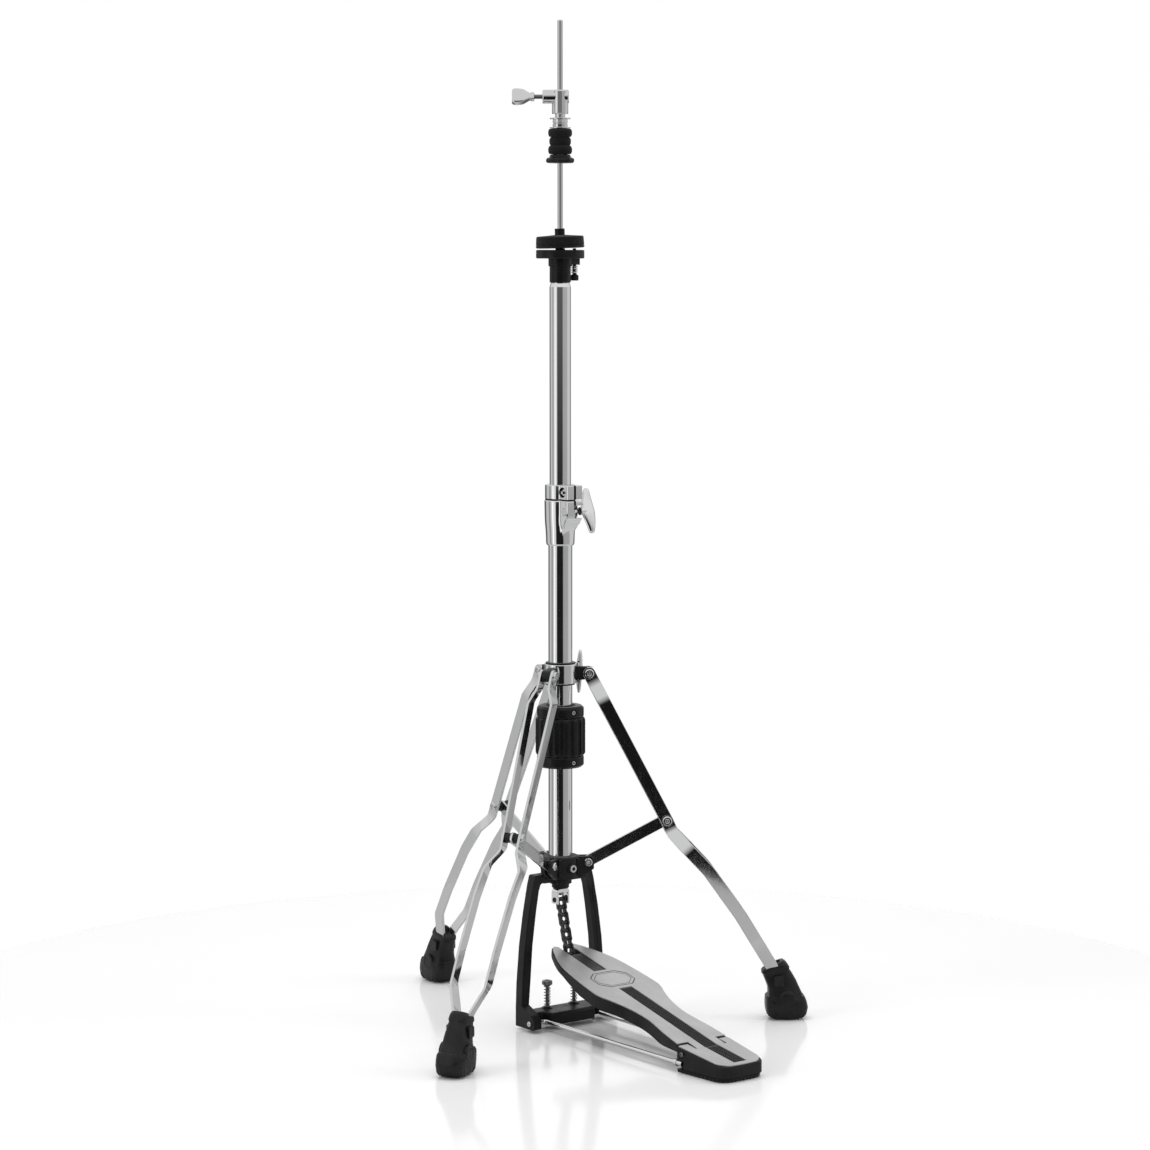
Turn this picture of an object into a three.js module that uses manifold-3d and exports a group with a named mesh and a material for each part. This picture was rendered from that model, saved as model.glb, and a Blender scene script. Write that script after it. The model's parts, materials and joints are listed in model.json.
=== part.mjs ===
// A hi-hat stand: a tripod of double-strap legs, two telescoping tubes, a foot pedal with a
// chain and a pull rod, a sprung tension housing, a tilting cymbal seat and a clutch.
// Millimetres, +Z up. While the pieces are made, the tubes stand on the Z axis, the floor is
// at z = 0 and the pedal's heel points along -Y. The whole stand is centred on the origin
// as the last step.

import * as THREE from 'three';
import { mergeVertices } from 'three/addons/utils/BufferGeometryUtils.js';
import Module from 'manifold-3d';

const wasm = await Module();
wasm.setup();

// ---- Driving dimensions -------------------------------------------------------------------

const GAP = 0.3;                     // between pieces that touch
const SLIDE_GAP = 0.4;               // round a rod or pin that slides or turns

// Heights above the floor
const ROD_TOP = 1193;
const CLUTCH_HEIGHT = 1104;          // axis of the clutch's thumb screw
const SEAT_HEIGHT = 942;             // top of the felt that carries the bottom cymbal
const CLAMP_TOP = 631;
const COLLAR_HEIGHT = 423.7;         // upper leg pivots
const HOUSING_BOTTOM = 311.6;
const HUB_HEIGHT = 195.7;            // brace pivots on the hub
const YOKE_PIN_HEIGHT = 150;
const TOE_HEIGHT = 96.2;             // footboard's top face, extended to the tube's axis

// Tubes and the pull rod
const LOWER_TUBE_RADIUS = 14.3;
const TUBE_WALL = 1.3;
const TUBE_PLAY = 0.3;               // between the two tubes
const UPPER_TUBE_RADIUS = LOWER_TUBE_RADIUS - TUBE_WALL - TUBE_PLAY;
const ROD_RADIUS = 3.175;
const UPPER_TUBE_INSIDE = 150;       // length of upper tube below the clamp's top

// Clamp and memory lock
const CLAMP_LENGTH = 54;
const CLAMP_WALL = 4.7;              // round the lower tube
const CLAMP_RADIUS = LOWER_TUBE_RADIUS + CLAMP_WALL;
const LOCK_HEIGHT = 16.6;
const EAR_LENGTH = 10;               // of the clamp ears, beyond the round clamp
const EAR_REACH = CLAMP_RADIUS + EAR_LENGTH;
const EAR_WIDTH = 23;
const SLIT = 3;

// Tension housing
const HOUSING_LENGTH = 73.6;
const CAP_LENGTH = 13.5;
const CAP_WALL = 13.7;               // round the lower tube
const CAP_RADIUS = LOWER_TUBE_RADIUS + CAP_WALL;
const KNOB_RADIUS = CAP_RADIUS + 2;
const KNOB_FLUTES = 16;
const SPRING_COILS = 7;
const SPRING_WIRE = 2;
const SPRING_RADIUS = LOWER_TUBE_RADIUS - 5.7;   // middle of the wire
const ROD_FLANGE_RADIUS = SPRING_RADIUS + SPRING_WIRE / 2 + 0.4;
const ROD_FLANGE_THICKNESS = 3;

// Legs, in a plane through the tube's axis: radius r and height z
const LEG_COUNT = 3;
const LEG_TURN = THREE.MathUtils.degToRad(87.8);
const COLLAR_PIVOT_RADIUS = LOWER_TUBE_RADIUS + 19.6;
const HUB_PIVOT_RADIUS = LOWER_TUBE_RADIUS + 18.5;
const MID_PIVOT_RADIUS = 127.3;
const MID_PIVOT_HEIGHT = 245.1;
const FOOT_RADIUS = 275;
const STRAP_WIDTH = 15;
const STRAP_THICKNESS = 3;
const STRAP_TOP_HALF_GAP = 5.8;      // inner face of a strap, from the middle of the leg
const STRAP_UPPER_HALF_GAP = 14;
const STRAP_MID_HALF_GAP = 9.1;
const STRAP_LOWER_HALF_GAP = 22.5;
const STRAP_FOOT_HALF_GAP = 2;
const BRACE_WIDTH = 14;
const PIVOT_RADIUS = 2.6;
const BOLT_HEAD_RADIUS = 5.5;
const BOLT_HEAD_THICKNESS = 2.2;

// Rubber foot
const FOOT_WIDTH = 36;
const FOOT_HEIGHT = 74;
const FOOT_FLANGE = 27;

// Base frame
const UPRIGHT_WIDTH = 11;
const UPRIGHT_DEPTH = 12;
const UPRIGHT_SHOULDER = 39;         // middle of the upright at its shoulder, from the axis
const UPRIGHT_FOOT = 57;             // and at the floor
const SHOULDER_HEIGHT = 184;
const BASE_PLATE_TOP = 20;
const BASE_PLATE_FRONT = 28;
const LUG_REACH = 31;
const PIN_HEIGHT = 10.5;             // screws that hold the two rods
const SPUR_SPACING = 40;
const SPUR_RADIUS = 6;
const SPUR_TOP = 54;
const WIRE_RADIUS = 2.8;             // rods between base and heel
const WIRE_SPACING = 76;

// Pedal
const HEEL_PIN_Y = -278.5;
const HEEL_PIN_HEIGHT = 21.6;
const HEEL_PIN_RADIUS = 3;
const HEEL_LENGTH = 75;
const HEEL_HALF_WIDTH = 37.5;
const HEEL_TOP_FRONT = 30.2;
const HEEL_TOP_REAR = 18.8;
const SOLE_THICKNESS = 4;
const BOARD_TOP = 7.5;               // footboard's top face above the heel pin, across the board
const BOARD_THICKNESS = 11;
const PLATE_THICKNESS = 1.4;
const STRIP_HALF_WIDTH = 9;
const TOE_GAP_LENGTH = 28;           // open notch in the toe that the chain hangs through
const BADGE_NEAR = 158;              // stretch that the badge bridges, from the heel pin
const BADGE_FAR = 207;

// Chain
const CHAIN_PITCH = 9.525;
const CHAIN_PITCHES = 7;
const CHAIN_ANCHOR_Y = -18;
const LINK_HALF_HEIGHT = 4.2;
const LINK_PIN_RADIUS = 1.8;
const YOKE_HALF_WIDTH = 9;
const YOKE_WALL = 2.2;

// Cymbal seat and clutch
const SEAT_RADIUS = 28.5;
const SEAT_TILT = THREE.MathUtils.degToRad(2);
const NUB_RADIUS = ROD_RADIUS + 2.725;
const NUB_RISE = 8.6;
const FELT_THICKNESS = 10.8;
const CUP_THICKNESS = 3;
const SEAT_PLATE = 10.6;
const STEM_LENGTH = 28;
const STEM_RADIUS = UPPER_TUBE_RADIUS - 0.2;
const TILT_SCREW_OFFSET = 21;
const CLUTCH_TUBE_RADIUS = ROD_RADIUS + 2.825;
const CLUTCH_FELT_RADIUS = 14;
const CLUTCH_FELT_LENGTH = 30;
const CLUTCH_NUT_RADIUS = 16.5;
const CLUTCH_NUT_LENGTH = 9.9;
const CLUTCH_BARREL_RADIUS = 8;
const CLUTCH_TURN = THREE.MathUtils.degToRad(143);

const ROUND = 20;                    // sides of a round piece
const SMALL_ROUND = 8;               // sides of a pin or bolt

// ---- Materials ----------------------------------------------------------------------------

function material(color, roughness, metalness) {
  return new THREE.MeshStandardMaterial({ color, roughness, metalness, flatShading: true });
}

const CHROME = material(0xd6d8da, 0.12, 1);
const BLACK_METAL = material(0x1d1e20, 0.45, 0.4);
const BRUSHED = material(0xb9babc, 0.38, 0.9);
const RUBBER = material(0x1a1a1b, 0.7, 0);
const FELT = material(0x161617, 0.95, 0);
const SPRING_STEEL = material(0x8d8f92, 0.35, 1);

// ---- Shape helpers ------------------------------------------------------------------------

const X_AXIS = new THREE.Vector3(1, 0, 0);
const Y_AXIS = new THREE.Vector3(0, 1, 0);
const Z_AXIS = new THREE.Vector3(0, 0, 1);

// A closed three.js geometry as a solid that can be joined and cut.
function solidOf(geometry) {
  const bare = geometry.clone();
  bare.deleteAttribute('normal');
  bare.deleteAttribute('uv');
  const welded = mergeVertices(bare, 1e-3);
  const corners = welded.index.array;
  const kept = [];
  for (let i = 0; i < corners.length; i += 3) {
    const [a, b, c] = corners.slice(i, i + 3);
    if (a !== b && b !== c && c !== a) {
      kept.push(a, b, c);
    }
  }
  const solid = makeSolid(welded.attributes.position.array, kept);
  if (solid.volume() > 0) {
    return solid;
  }
  return makeSolid(welded.attributes.position.array, kept.reverse());
}

function makeSolid(positions, corners) {
  const mesh = new wasm.Mesh({
    numProp: 3,
    vertProperties: new Float32Array(positions),
    triVerts: new Uint32Array(corners),
  });
  return new wasm.Manifold(mesh);
}

// A finished solid as a three.js geometry.
function geometryOf(solid) {
  const mesh = solid.getMesh();
  const geometry = new THREE.BufferGeometry();
  geometry.setAttribute('position', new THREE.BufferAttribute(mesh.vertProperties, 3));
  geometry.setIndex(new THREE.BufferAttribute(mesh.triVerts, 1));
  geometry.computeVertexNormals();
  return geometry;
}

function joined(solids) {
  return solids.reduce((whole, solid) => whole.add(solid));
}

function cut(solid, tools) {
  return tools.reduce((left, tool) => left.subtract(tool), solid);
}

function shapeOf(points) {
  return new THREE.Shape(points.map(([a, b]) => new THREE.Vector2(a, b)));
}

// An outline pushed along one of the axes, from `low` to `high`. The outline's own two
// axes are (x, y) for Z, (y, z) for X and (x, z) for Y.
function extrudedAlong(axis, shape, low, high) {
  const outline = Array.isArray(shape) ? shapeOf(shape) : shape;
  const options = { depth: high - low, bevelEnabled: false, curveSegments: 6 };
  const geometry = new THREE.ExtrudeGeometry(outline, options);
  const turn = new THREE.Matrix4();
  if (axis === 'x') {
    turn.makeBasis(Y_AXIS, Z_AXIS, X_AXIS);
    turn.setPosition(low, 0, 0);
  } else if (axis === 'y') {
    turn.makeBasis(X_AXIS, Z_AXIS, Y_AXIS.clone().negate());
    turn.setPosition(0, high, 0);
  } else {
    turn.setPosition(0, 0, low);
  }
  return solidOf(geometry.applyMatrix4(turn));
}

// An outline of (radius, height) turned about the Z axis; it closes on itself or on the axis.
function turned(profile, sides = ROUND) {
  const points = profile.map(([r, z]) => new THREE.Vector2(r, z));
  const onAxis = profile[0][0] === 0 && profile[profile.length - 1][0] === 0;
  if (!onAxis) {
    points.push(points[0].clone());
  }
  return solidOf(new THREE.LatheGeometry(points, sides).rotateX(Math.PI / 2));
}

function ring(inner, outer, low, high, sides = ROUND) {
  return turned([[inner, low], [outer, low], [outer, high], [inner, high]], sides);
}

// A cylinder along an axis through the point (a, b) of the other two axes.
function cylinderAlong(axis, radius, a, b, low, high, sides = SMALL_ROUND) {
  const geometry = new THREE.CylinderGeometry(radius, radius, high - low, sides);
  const middle = (low + high) / 2;
  if (axis === 'x') {
    geometry.rotateZ(Math.PI / 2).translate(middle, a, b);
  } else if (axis === 'y') {
    geometry.translate(a, middle, b);
  } else {
    geometry.rotateX(Math.PI / 2).translate(a, b, middle);
  }
  return solidOf(geometry);
}

function box(x, y, z) {
  const size = [x, y, z].map(([low, high]) => high - low);
  const middle = [x, y, z].map(([low, high]) => (low + high) / 2);
  return solidOf(new THREE.BoxGeometry(...size).translate(...middle));
}

// The outline of a flat bar of even width along a line of points, with square or round ends.
function barOutline(points, width, roundStart = false, roundEnd = false, roundSteps = 6) {
  const line = points.map(([a, b]) => new THREE.Vector2(a, b));
  const half = width / 2;
  const sides = [[], []];
  line.forEach((point, i) => {
    const before = line[Math.max(i - 1, 0)];
    const after = line[Math.min(i + 1, line.length - 1)];
    const arriving = (i > 0 ? point.clone().sub(before) : after.clone().sub(point)).normalize();
    const leaving = (i < line.length - 1 ? after.clone().sub(point) : arriving.clone()).normalize();
    const along = arriving.clone().add(leaving).normalize();
    const across = new THREE.Vector2(-along.y, along.x);
    const mitre = half / along.dot(leaving);
    sides[0].push(point.clone().addScaledVector(across, mitre));
    sides[1].push(point.clone().addScaledVector(across, -mitre));
  });
  const outline = [...sides[0]];
  if (roundEnd) {
    outline.push(...halfRound(line.at(-1), line.at(-2), half, roundSteps));
  }
  outline.push(...sides[1].reverse());
  if (roundStart) {
    outline.push(...halfRound(line[0], line[1], half, roundSteps));
  }
  return outline.map(({ x, y }) => [x, y]);
}

// Points of the half circle that closes a bar at `end`, seen from the bar's `inner` point.
function halfRound(end, inner, radius, steps) {
  const heading = end.clone().sub(inner).angle();
  const points = [];
  for (let step = 1; step < steps; step += 1) {
    const angle = heading + Math.PI / 2 - (Math.PI * step) / steps;
    points.push(new THREE.Vector2(
      end.x + radius * Math.cos(angle),
      end.y + radius * Math.sin(angle),
    ));
  }
  return points;
}

// A wire of even radius along a curve.
function wire(curve, radius, steps, sides) {
  const section = new THREE.Shape();
  for (let i = 0; i < sides; i += 1) {
    const angle = (2 * Math.PI * i) / sides;
    const point = [radius * Math.cos(angle), radius * Math.sin(angle)];
    if (i === 0) {
      section.moveTo(...point);
    } else {
      section.lineTo(...point);
    }
  }
  const options = { steps, extrudePath: curve, bevelEnabled: false };
  return solidOf(new THREE.ExtrudeGeometry(section, options));
}

const stand = new THREE.Group();

function addPiece(name, solid, look, parent = stand) {
  const piece = new THREE.Mesh(geometryOf(solid), look);
  piece.name = name;
  parent.add(piece);
  return piece;
}

// ---- Tubes, clamp and memory lock ---------------------------------------------------------

const HUB_TOP = HUB_HEIGHT + 8;
const HUB_BOTTOM = HUB_HEIGHT - 20;
const CLAMP_BOTTOM = CLAMP_TOP - CLAMP_LENGTH;
const LOWER_TUBE_TOP = CLAMP_TOP - 6;
const SEAT_BASE = SEAT_HEIGHT - FELT_THICKNESS - CUP_THICKNESS - GAP;
const STEM_PLATE_TOP = SEAT_BASE - 1.8;
const STEM_BOTTOM = STEM_PLATE_TOP - SEAT_PLATE - STEM_LENGTH;
const LOCK_BOTTOM = CLAMP_TOP + GAP + 1.2;

function addTubes() {
  const lowerInner = LOWER_TUBE_RADIUS - TUBE_WALL;
  const upperInner = UPPER_TUBE_RADIUS - TUBE_WALL;
  const lower = ring(lowerInner, LOWER_TUBE_RADIUS, HUB_BOTTOM + 4, LOWER_TUBE_TOP);
  const upperBottom = CLAMP_TOP - UPPER_TUBE_INSIDE;
  const upper = ring(upperInner, UPPER_TUBE_RADIUS, upperBottom, STEM_BOTTOM - GAP);
  addPiece('lower_tube', lower, CHROME);
  addPiece('upper_tube', upper, CHROME);
}

// The two ears of a split clamp that point along -Y, with the slit and the bolt hole.
function withEars(body, low, high, boltHeight, boltY) {
  const half = EAR_WIDTH / 2;
  const corner = 3;
  const outline = [
    [-half, 0], [-half, -EAR_REACH + corner], [-half + corner, -EAR_REACH],
    [half - corner, -EAR_REACH], [half, -EAR_REACH + corner], [half, 0],
  ];
  const ears = extrudedAlong('z', outline, low, high);
  const slit = box([-SLIT / 2, SLIT / 2], [-EAR_REACH - 1, 0], [low - 1, high + 1]);
  const hole = cylinderAlong('x', PIVOT_RADIUS + SLIDE_GAP, boltY, boltHeight, -half - 1, half + 1);
  return cut(body.add(ears), [slit, hole]);
}

const CLAMP_BOLT_HEIGHT = CLAMP_TOP - 13;
const CLAMP_BOLT_Y = -EAR_REACH + 6.5;

function addClamp() {
  const foot = CLAMP_RADIUS - 2;
  const body = turned([
    [0, CLAMP_BOTTOM], [foot - 1, CLAMP_BOTTOM], [foot, CLAMP_BOTTOM + 1.5],
    [CLAMP_RADIUS, CLAMP_TOP - 20], [CLAMP_RADIUS, CLAMP_TOP - 1], [CLAMP_RADIUS - 1, CLAMP_TOP],
    [0, CLAMP_TOP],
  ]);
  const eared = withEars(body, CLAMP_TOP - 26, CLAMP_TOP, CLAMP_BOLT_HEIGHT, CLAMP_BOLT_Y);
  const seat = cylinderAlong('z', LOWER_TUBE_RADIUS + GAP, 0, 0, CLAMP_BOTTOM - 1,
    LOWER_TUBE_TOP + GAP, ROUND);
  const bore = cylinderAlong('z', UPPER_TUBE_RADIUS + SLIDE_GAP, 0, 0, CLAMP_BOTTOM - 1,
    CLAMP_TOP + 1, ROUND);
  addPiece('tube_clamp', cut(eared, [seat, bore]), CHROME);
}

function addMemoryLock() {
  const top = LOCK_BOTTOM + LOCK_HEIGHT;
  const radius = CLAMP_RADIUS - 0.6;
  const body = turned([
    [0, LOCK_BOTTOM], [radius, LOCK_BOTTOM], [radius, top - 1.2], [radius - 1.2, top], [0, top],
  ]);
  const eared = withEars(body, LOCK_BOTTOM, top, LOCK_BOTTOM + LOCK_HEIGHT / 2, CLAMP_BOLT_Y + 2);
  const bore = cylinderAlong('z', UPPER_TUBE_RADIUS + GAP, 0, 0, LOCK_BOTTOM - 1, top + 1, ROUND);
  addPiece('memory_lock', cut(eared, [bore]), CHROME);
}

// A wing bolt whose shank runs along -X from the origin. Its wings start at `near` and end
// at `far` along +X, and `sweep` bends them into an S.
const WING_HEIGHT = 52;

function wingBolt(shank, near, far, thickness, sweep) {
  const tip = WING_HEIGHT / 2;
  const depth = far - near;
  const blade = extrudedAlong('y', [
    [near, -5], [near + depth * 0.2, -tip + 4], [near + depth * 0.4, -tip],
    [far - depth * 0.2, -tip + 2], [far, 0], [far - depth * 0.15, tip - 4],
    [near + depth * 0.55, tip], [near + depth * 0.2, tip - 3], [near, 5],
  ], -20, 20);
  const bend = extrudedAlong('x', barOutline([
    [-sweep, -tip - 1], [-sweep, -tip / 2], [0, 0], [sweep, tip / 2], [sweep, tip + 1],
  ], thickness), 0, far + 1);
  const hub = cylinderAlong('x', 5.2, 0, 0, GAP, far - 1);
  const stem = cylinderAlong('x', PIVOT_RADIUS, 0, 0, -shank, GAP + 1);
  return joined([blade.intersect(bend), hub, stem]);
}

function addClampWingBolt() {
  const bolt = addPiece('clamp_wing_bolt', wingBolt(EAR_WIDTH + 1, 8.5, 21.5, 7, 4), CHROME);
  bolt.position.set(EAR_WIDTH / 2, CLAMP_BOLT_Y, CLAMP_BOLT_HEIGHT);
}

// ---- Tension housing with its spring ------------------------------------------------------

const HOUSING_TOP = HOUSING_BOTTOM + HOUSING_LENGTH;
const SPRING_BOTTOM = HOUSING_BOTTOM + 14;
const SPRING_LENGTH = 62;
const ROD_FLANGE_BOTTOM = SPRING_BOTTOM + SPRING_LENGTH + GAP;

function addHousing() {
  const bore = LOWER_TUBE_RADIUS + GAP;
  const chamfer = 2;
  const top = turned([
    [bore, HOUSING_TOP - CAP_LENGTH], [CAP_RADIUS, HOUSING_TOP - CAP_LENGTH],
    [CAP_RADIUS, HOUSING_TOP - chamfer], [CAP_RADIUS - chamfer, HOUSING_TOP],
    [bore, HOUSING_TOP],
  ]);
  const bottom = turned([
    [bore, HOUSING_BOTTOM], [CAP_RADIUS - chamfer, HOUSING_BOTTOM],
    [CAP_RADIUS, HOUSING_BOTTOM + chamfer], [CAP_RADIUS, HOUSING_BOTTOM + CAP_LENGTH],
    [bore, HOUSING_BOTTOM + CAP_LENGTH],
  ]);
  addPiece('housing_top_cap', top, BLACK_METAL);
  addPiece('housing_bottom_cap', bottom, BLACK_METAL);

  const low = HOUSING_BOTTOM + CAP_LENGTH + GAP;
  const high = HOUSING_TOP - CAP_LENGTH - GAP;
  const flutes = [];
  const pointsPerFlute = 4;
  for (let i = 0; i < KNOB_FLUTES * pointsPerFlute; i += 1) {
    const angle = (2 * Math.PI * i) / (KNOB_FLUTES * pointsPerFlute);
    const depth = i % pointsPerFlute === 0 ? 1.8 : 0;
    flutes.push([(KNOB_RADIUS - depth) * Math.cos(angle), (KNOB_RADIUS - depth) * Math.sin(angle)]);
  }
  const sleeve = extrudedAlong('z', flutes, low, high);
  const hole = cylinderAlong('z', bore + SLIDE_GAP, 0, 0, low - 1, high + 1, ROUND);
  addPiece('tension_knob', cut(sleeve, [hole]), BLACK_METAL);

  const seatRadius = LOWER_TUBE_RADIUS - TUBE_WALL - GAP;
  const seat = ring(ROD_RADIUS + SLIDE_GAP, seatRadius, SPRING_BOTTOM - 6, SPRING_BOTTOM - GAP);
  addPiece('spring_seat', seat, SPRING_STEEL);

  const coil = new THREE.CatmullRomCurve3(coilPoints());
  addPiece('return_spring', wire(coil, SPRING_WIRE / 2, SPRING_COILS * 10, 5), SPRING_STEEL);
}

function coilPoints() {
  const points = [];
  const perTurn = 10;
  const rise = SPRING_LENGTH - SPRING_WIRE;
  for (let i = 0; i <= SPRING_COILS * perTurn; i += 1) {
    const angle = (2 * Math.PI * i) / perTurn;
    const z = SPRING_BOTTOM + SPRING_WIRE / 2 + (rise * i) / (SPRING_COILS * perTurn);
    points.push(new THREE.Vector3(SPRING_RADIUS * Math.cos(angle), SPRING_RADIUS * Math.sin(angle), z));
  }
  return points;
}

// ---- Hub at the foot of the lower tube ----------------------------------------------------

const HUB_RADIUS = LOWER_TUBE_RADIUS + 7.7;
const CLEVIS_HALF_GAP = STRAP_THICKNESS / 2 + SLIDE_GAP;
const CLEVIS_HALF_WIDTH = 7;
const NOSE_LENGTH = 11;

function addHub() {
  const body = turned([
    [0, HUB_BOTTOM - NOSE_LENGTH], [10, HUB_BOTTOM - NOSE_LENGTH], [10, HUB_BOTTOM - 5],
    [13, HUB_BOTTOM - 5], [13, HUB_BOTTOM], [HUB_RADIUS, HUB_BOTTOM + 2],
    [HUB_RADIUS, HUB_TOP - 1.5], [HUB_RADIUS - 1.5, HUB_TOP], [0, HUB_TOP],
  ]);
  const parts = [body];
  const tools = [];
  for (let leg = 0; leg < LEG_COUNT; leg += 1) {
    const turn = new THREE.Matrix4().makeRotationZ(legAngle(leg));
    parts.push(placed(hubArm(), turn));
    tools.push(placed(hubSlot(), turn));
  }
  const armEnd = UPRIGHT_SHOULDER - 10 - GAP;
  parts.push(box([-armEnd, armEnd], [-UPRIGHT_DEPTH / 2, UPRIGHT_DEPTH / 2],
    [SHOULDER_HEIGHT - UPRIGHT_WIDTH, SHOULDER_HEIGHT]));
  tools.push(cylinderAlong('z', LOWER_TUBE_RADIUS + GAP, 0, 0, HUB_BOTTOM + 4 - GAP, HUB_TOP + 1, ROUND));
  tools.push(cylinderAlong('z', ROD_RADIUS + SLIDE_GAP, 0, 0, HUB_BOTTOM - NOSE_LENGTH - 1, HUB_TOP));
  addPiece('hub_casting', cut(joined(parts), tools), BLACK_METAL);
}

function hubArm() {
  const reach = HUB_PIVOT_RADIUS + 7;
  return extrudedAlong('y', [
    [15, HUB_BOTTOM + 2], [HUB_RADIUS + 2, HUB_BOTTOM + 2], [reach, HUB_HEIGHT - 8],
    [reach, HUB_HEIGHT + 4], [reach - 3, HUB_TOP - 1], [15, HUB_TOP - 1],
  ], -CLEVIS_HALF_WIDTH, CLEVIS_HALF_WIDTH);
}

function hubSlot() {
  const slot = box([HUB_RADIUS + 1, HUB_PIVOT_RADIUS + 8], [-CLEVIS_HALF_GAP, CLEVIS_HALF_GAP],
    [HUB_BOTTOM, HUB_TOP + 1]);
  const hole = cylinderAlong('y', PIVOT_RADIUS + GAP, HUB_PIVOT_RADIUS, HUB_HEIGHT, -10, 10);
  return slot.add(hole);
}

function legAngle(leg) {
  return LEG_TURN + (2 * Math.PI * leg) / LEG_COUNT;
}

function placed(solid, matrix) {
  return solidOf(geometryOf(solid).applyMatrix4(matrix));
}

// ---- Leg collar ---------------------------------------------------------------------------

const COLLAR_INNER = LOWER_TUBE_RADIUS + SLIDE_GAP + 1.4 + GAP;
const COLLAR_OUTER = COLLAR_INNER + 3.1;
const COLLAR_HALF_HEIGHT = 11.5;
const COLLAR_CLAMP_ANGLE = LEG_TURN - Math.PI / LEG_COUNT;   // between the back and right legs
const COLLAR_EAR_REACH = COLLAR_OUTER + 11.5;
const COLLAR_EAR_HALF = 7;
const COLLAR_BOLT_RADIUS = COLLAR_OUTER + 6;
const LUG_HALF_WIDTH = STRAP_TOP_HALF_GAP - GAP;

function addCollar() {
  const low = COLLAR_HEIGHT - COLLAR_HALF_HEIGHT;
  const high = COLLAR_HEIGHT + COLLAR_HALF_HEIGHT;
  const parts = [turned([[0, low], [COLLAR_OUTER, low], [COLLAR_OUTER, high], [0, high]])];
  const tools = [cylinderAlong('z', COLLAR_INNER, 0, 0, low - 1, high + 1, ROUND)];
  for (let leg = 0; leg < LEG_COUNT; leg += 1) {
    const turn = new THREE.Matrix4().makeRotationZ(legAngle(leg));
    const lug = extrudedAlong('y', barOutline(
      [[16, COLLAR_HEIGHT], [COLLAR_PIVOT_RADIUS, COLLAR_HEIGHT]], 14, false, true),
    -LUG_HALF_WIDTH, LUG_HALF_WIDTH);
    const hole = cylinderAlong('y', PIVOT_RADIUS + GAP, COLLAR_PIVOT_RADIUS, COLLAR_HEIGHT, -10, 10);
    parts.push(placed(lug, turn));
    tools.push(placed(hole, turn));
  }
  const clampTurn = new THREE.Matrix4().makeRotationZ(COLLAR_CLAMP_ANGLE);
  const ears = box([15, COLLAR_EAR_REACH], [-COLLAR_EAR_HALF, COLLAR_EAR_HALF], [low, high - 1]);
  const slit = box([0, COLLAR_EAR_REACH + 1], [-SLIT / 2, SLIT / 2], [low - 1, high + 1]);
  const bolt = cylinderAlong('y', PIVOT_RADIUS + SLIDE_GAP, COLLAR_BOLT_RADIUS, COLLAR_HEIGHT, -20, 20);
  parts.push(placed(ears, clampTurn));
  tools.push(placed(slit.add(bolt), clampTurn));
  addPiece('leg_collar', cut(joined(parts), tools), CHROME);

  const lip = COLLAR_INNER + 2;
  const bushing = turned([
    [LOWER_TUBE_RADIUS + SLIDE_GAP, low - 2], [lip, low - 2], [lip, low - GAP],
    [COLLAR_INNER - GAP, low - GAP], [COLLAR_INNER - GAP, high + GAP], [lip, high + GAP],
    [lip, high + 2], [LOWER_TUBE_RADIUS + SLIDE_GAP, high + 2],
  ]);
  addPiece('collar_bushing', bushing, RUBBER);

  const clampGroup = new THREE.Group();
  clampGroup.rotation.z = COLLAR_CLAMP_ANGLE;
  stand.add(clampGroup);
  const wing = addPiece('collar_wing_bolt', wingBolt(2 * COLLAR_EAR_HALF, 1.5, 9, 5, 1.5), CHROME, clampGroup);
  wing.rotation.z = -Math.PI / 2;
  wing.position.set(COLLAR_BOLT_RADIUS, -COLLAR_EAR_HALF, COLLAR_HEIGHT);
}

// ---- Legs ---------------------------------------------------------------------------------

const FOOT_ENTRY_RADIUS = FOOT_RADIUS - 20;
const FOOT_ENTRY_HEIGHT = FOOT_HEIGHT - 9;

// Middle line of a strap, seen from the side.
function strapSideLine() {
  const bend = [MID_PIVOT_RADIUS + 7, MID_PIVOT_HEIGHT - 15];
  const lower = new THREE.QuadraticBezierCurve(
    new THREE.Vector2(...bend),
    new THREE.Vector2(FOOT_ENTRY_RADIUS - 51, (MID_PIVOT_HEIGHT + FOOT_ENTRY_HEIGHT) / 2 + 2),
    new THREE.Vector2(FOOT_ENTRY_RADIUS, FOOT_ENTRY_HEIGHT),
  );
  const tail = [FOOT_ENTRY_RADIUS + 7, FOOT_ENTRY_HEIGHT - 17];
  return [
    [COLLAR_PIVOT_RADIUS, COLLAR_HEIGHT],
    [MID_PIVOT_RADIUS, MID_PIVOT_HEIGHT],
    ...lower.getPoints(5).map(({ x, y }) => [x, y]),
    tail,
  ];
}

// Middle line of a strap, seen along the leg: distance from the leg's middle, and height.
function strapFrontLine() {
  const half = STRAP_THICKNESS / 2;
  return [
    [STRAP_TOP_HALF_GAP + half, COLLAR_HEIGHT + STRAP_WIDTH],
    [STRAP_TOP_HALF_GAP + half, COLLAR_HEIGHT - 11],
    [STRAP_UPPER_HALF_GAP + half - 1, COLLAR_HEIGHT - 30],
    [STRAP_UPPER_HALF_GAP + half, COLLAR_HEIGHT - 90],
    [STRAP_MID_HALF_GAP + half, MID_PIVOT_HEIGHT + 17],
    [STRAP_MID_HALF_GAP + half, MID_PIVOT_HEIGHT - 11],
    [STRAP_LOWER_HALF_GAP - 2, MID_PIVOT_HEIGHT - 33],
    [STRAP_LOWER_HALF_GAP + half, FOOT_HEIGHT + 20],
    [STRAP_FOOT_HALF_GAP + half + 5, FOOT_HEIGHT - 10],
    [STRAP_FOOT_HALF_GAP + half, FOOT_HEIGHT - 36],
  ];
}

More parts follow.
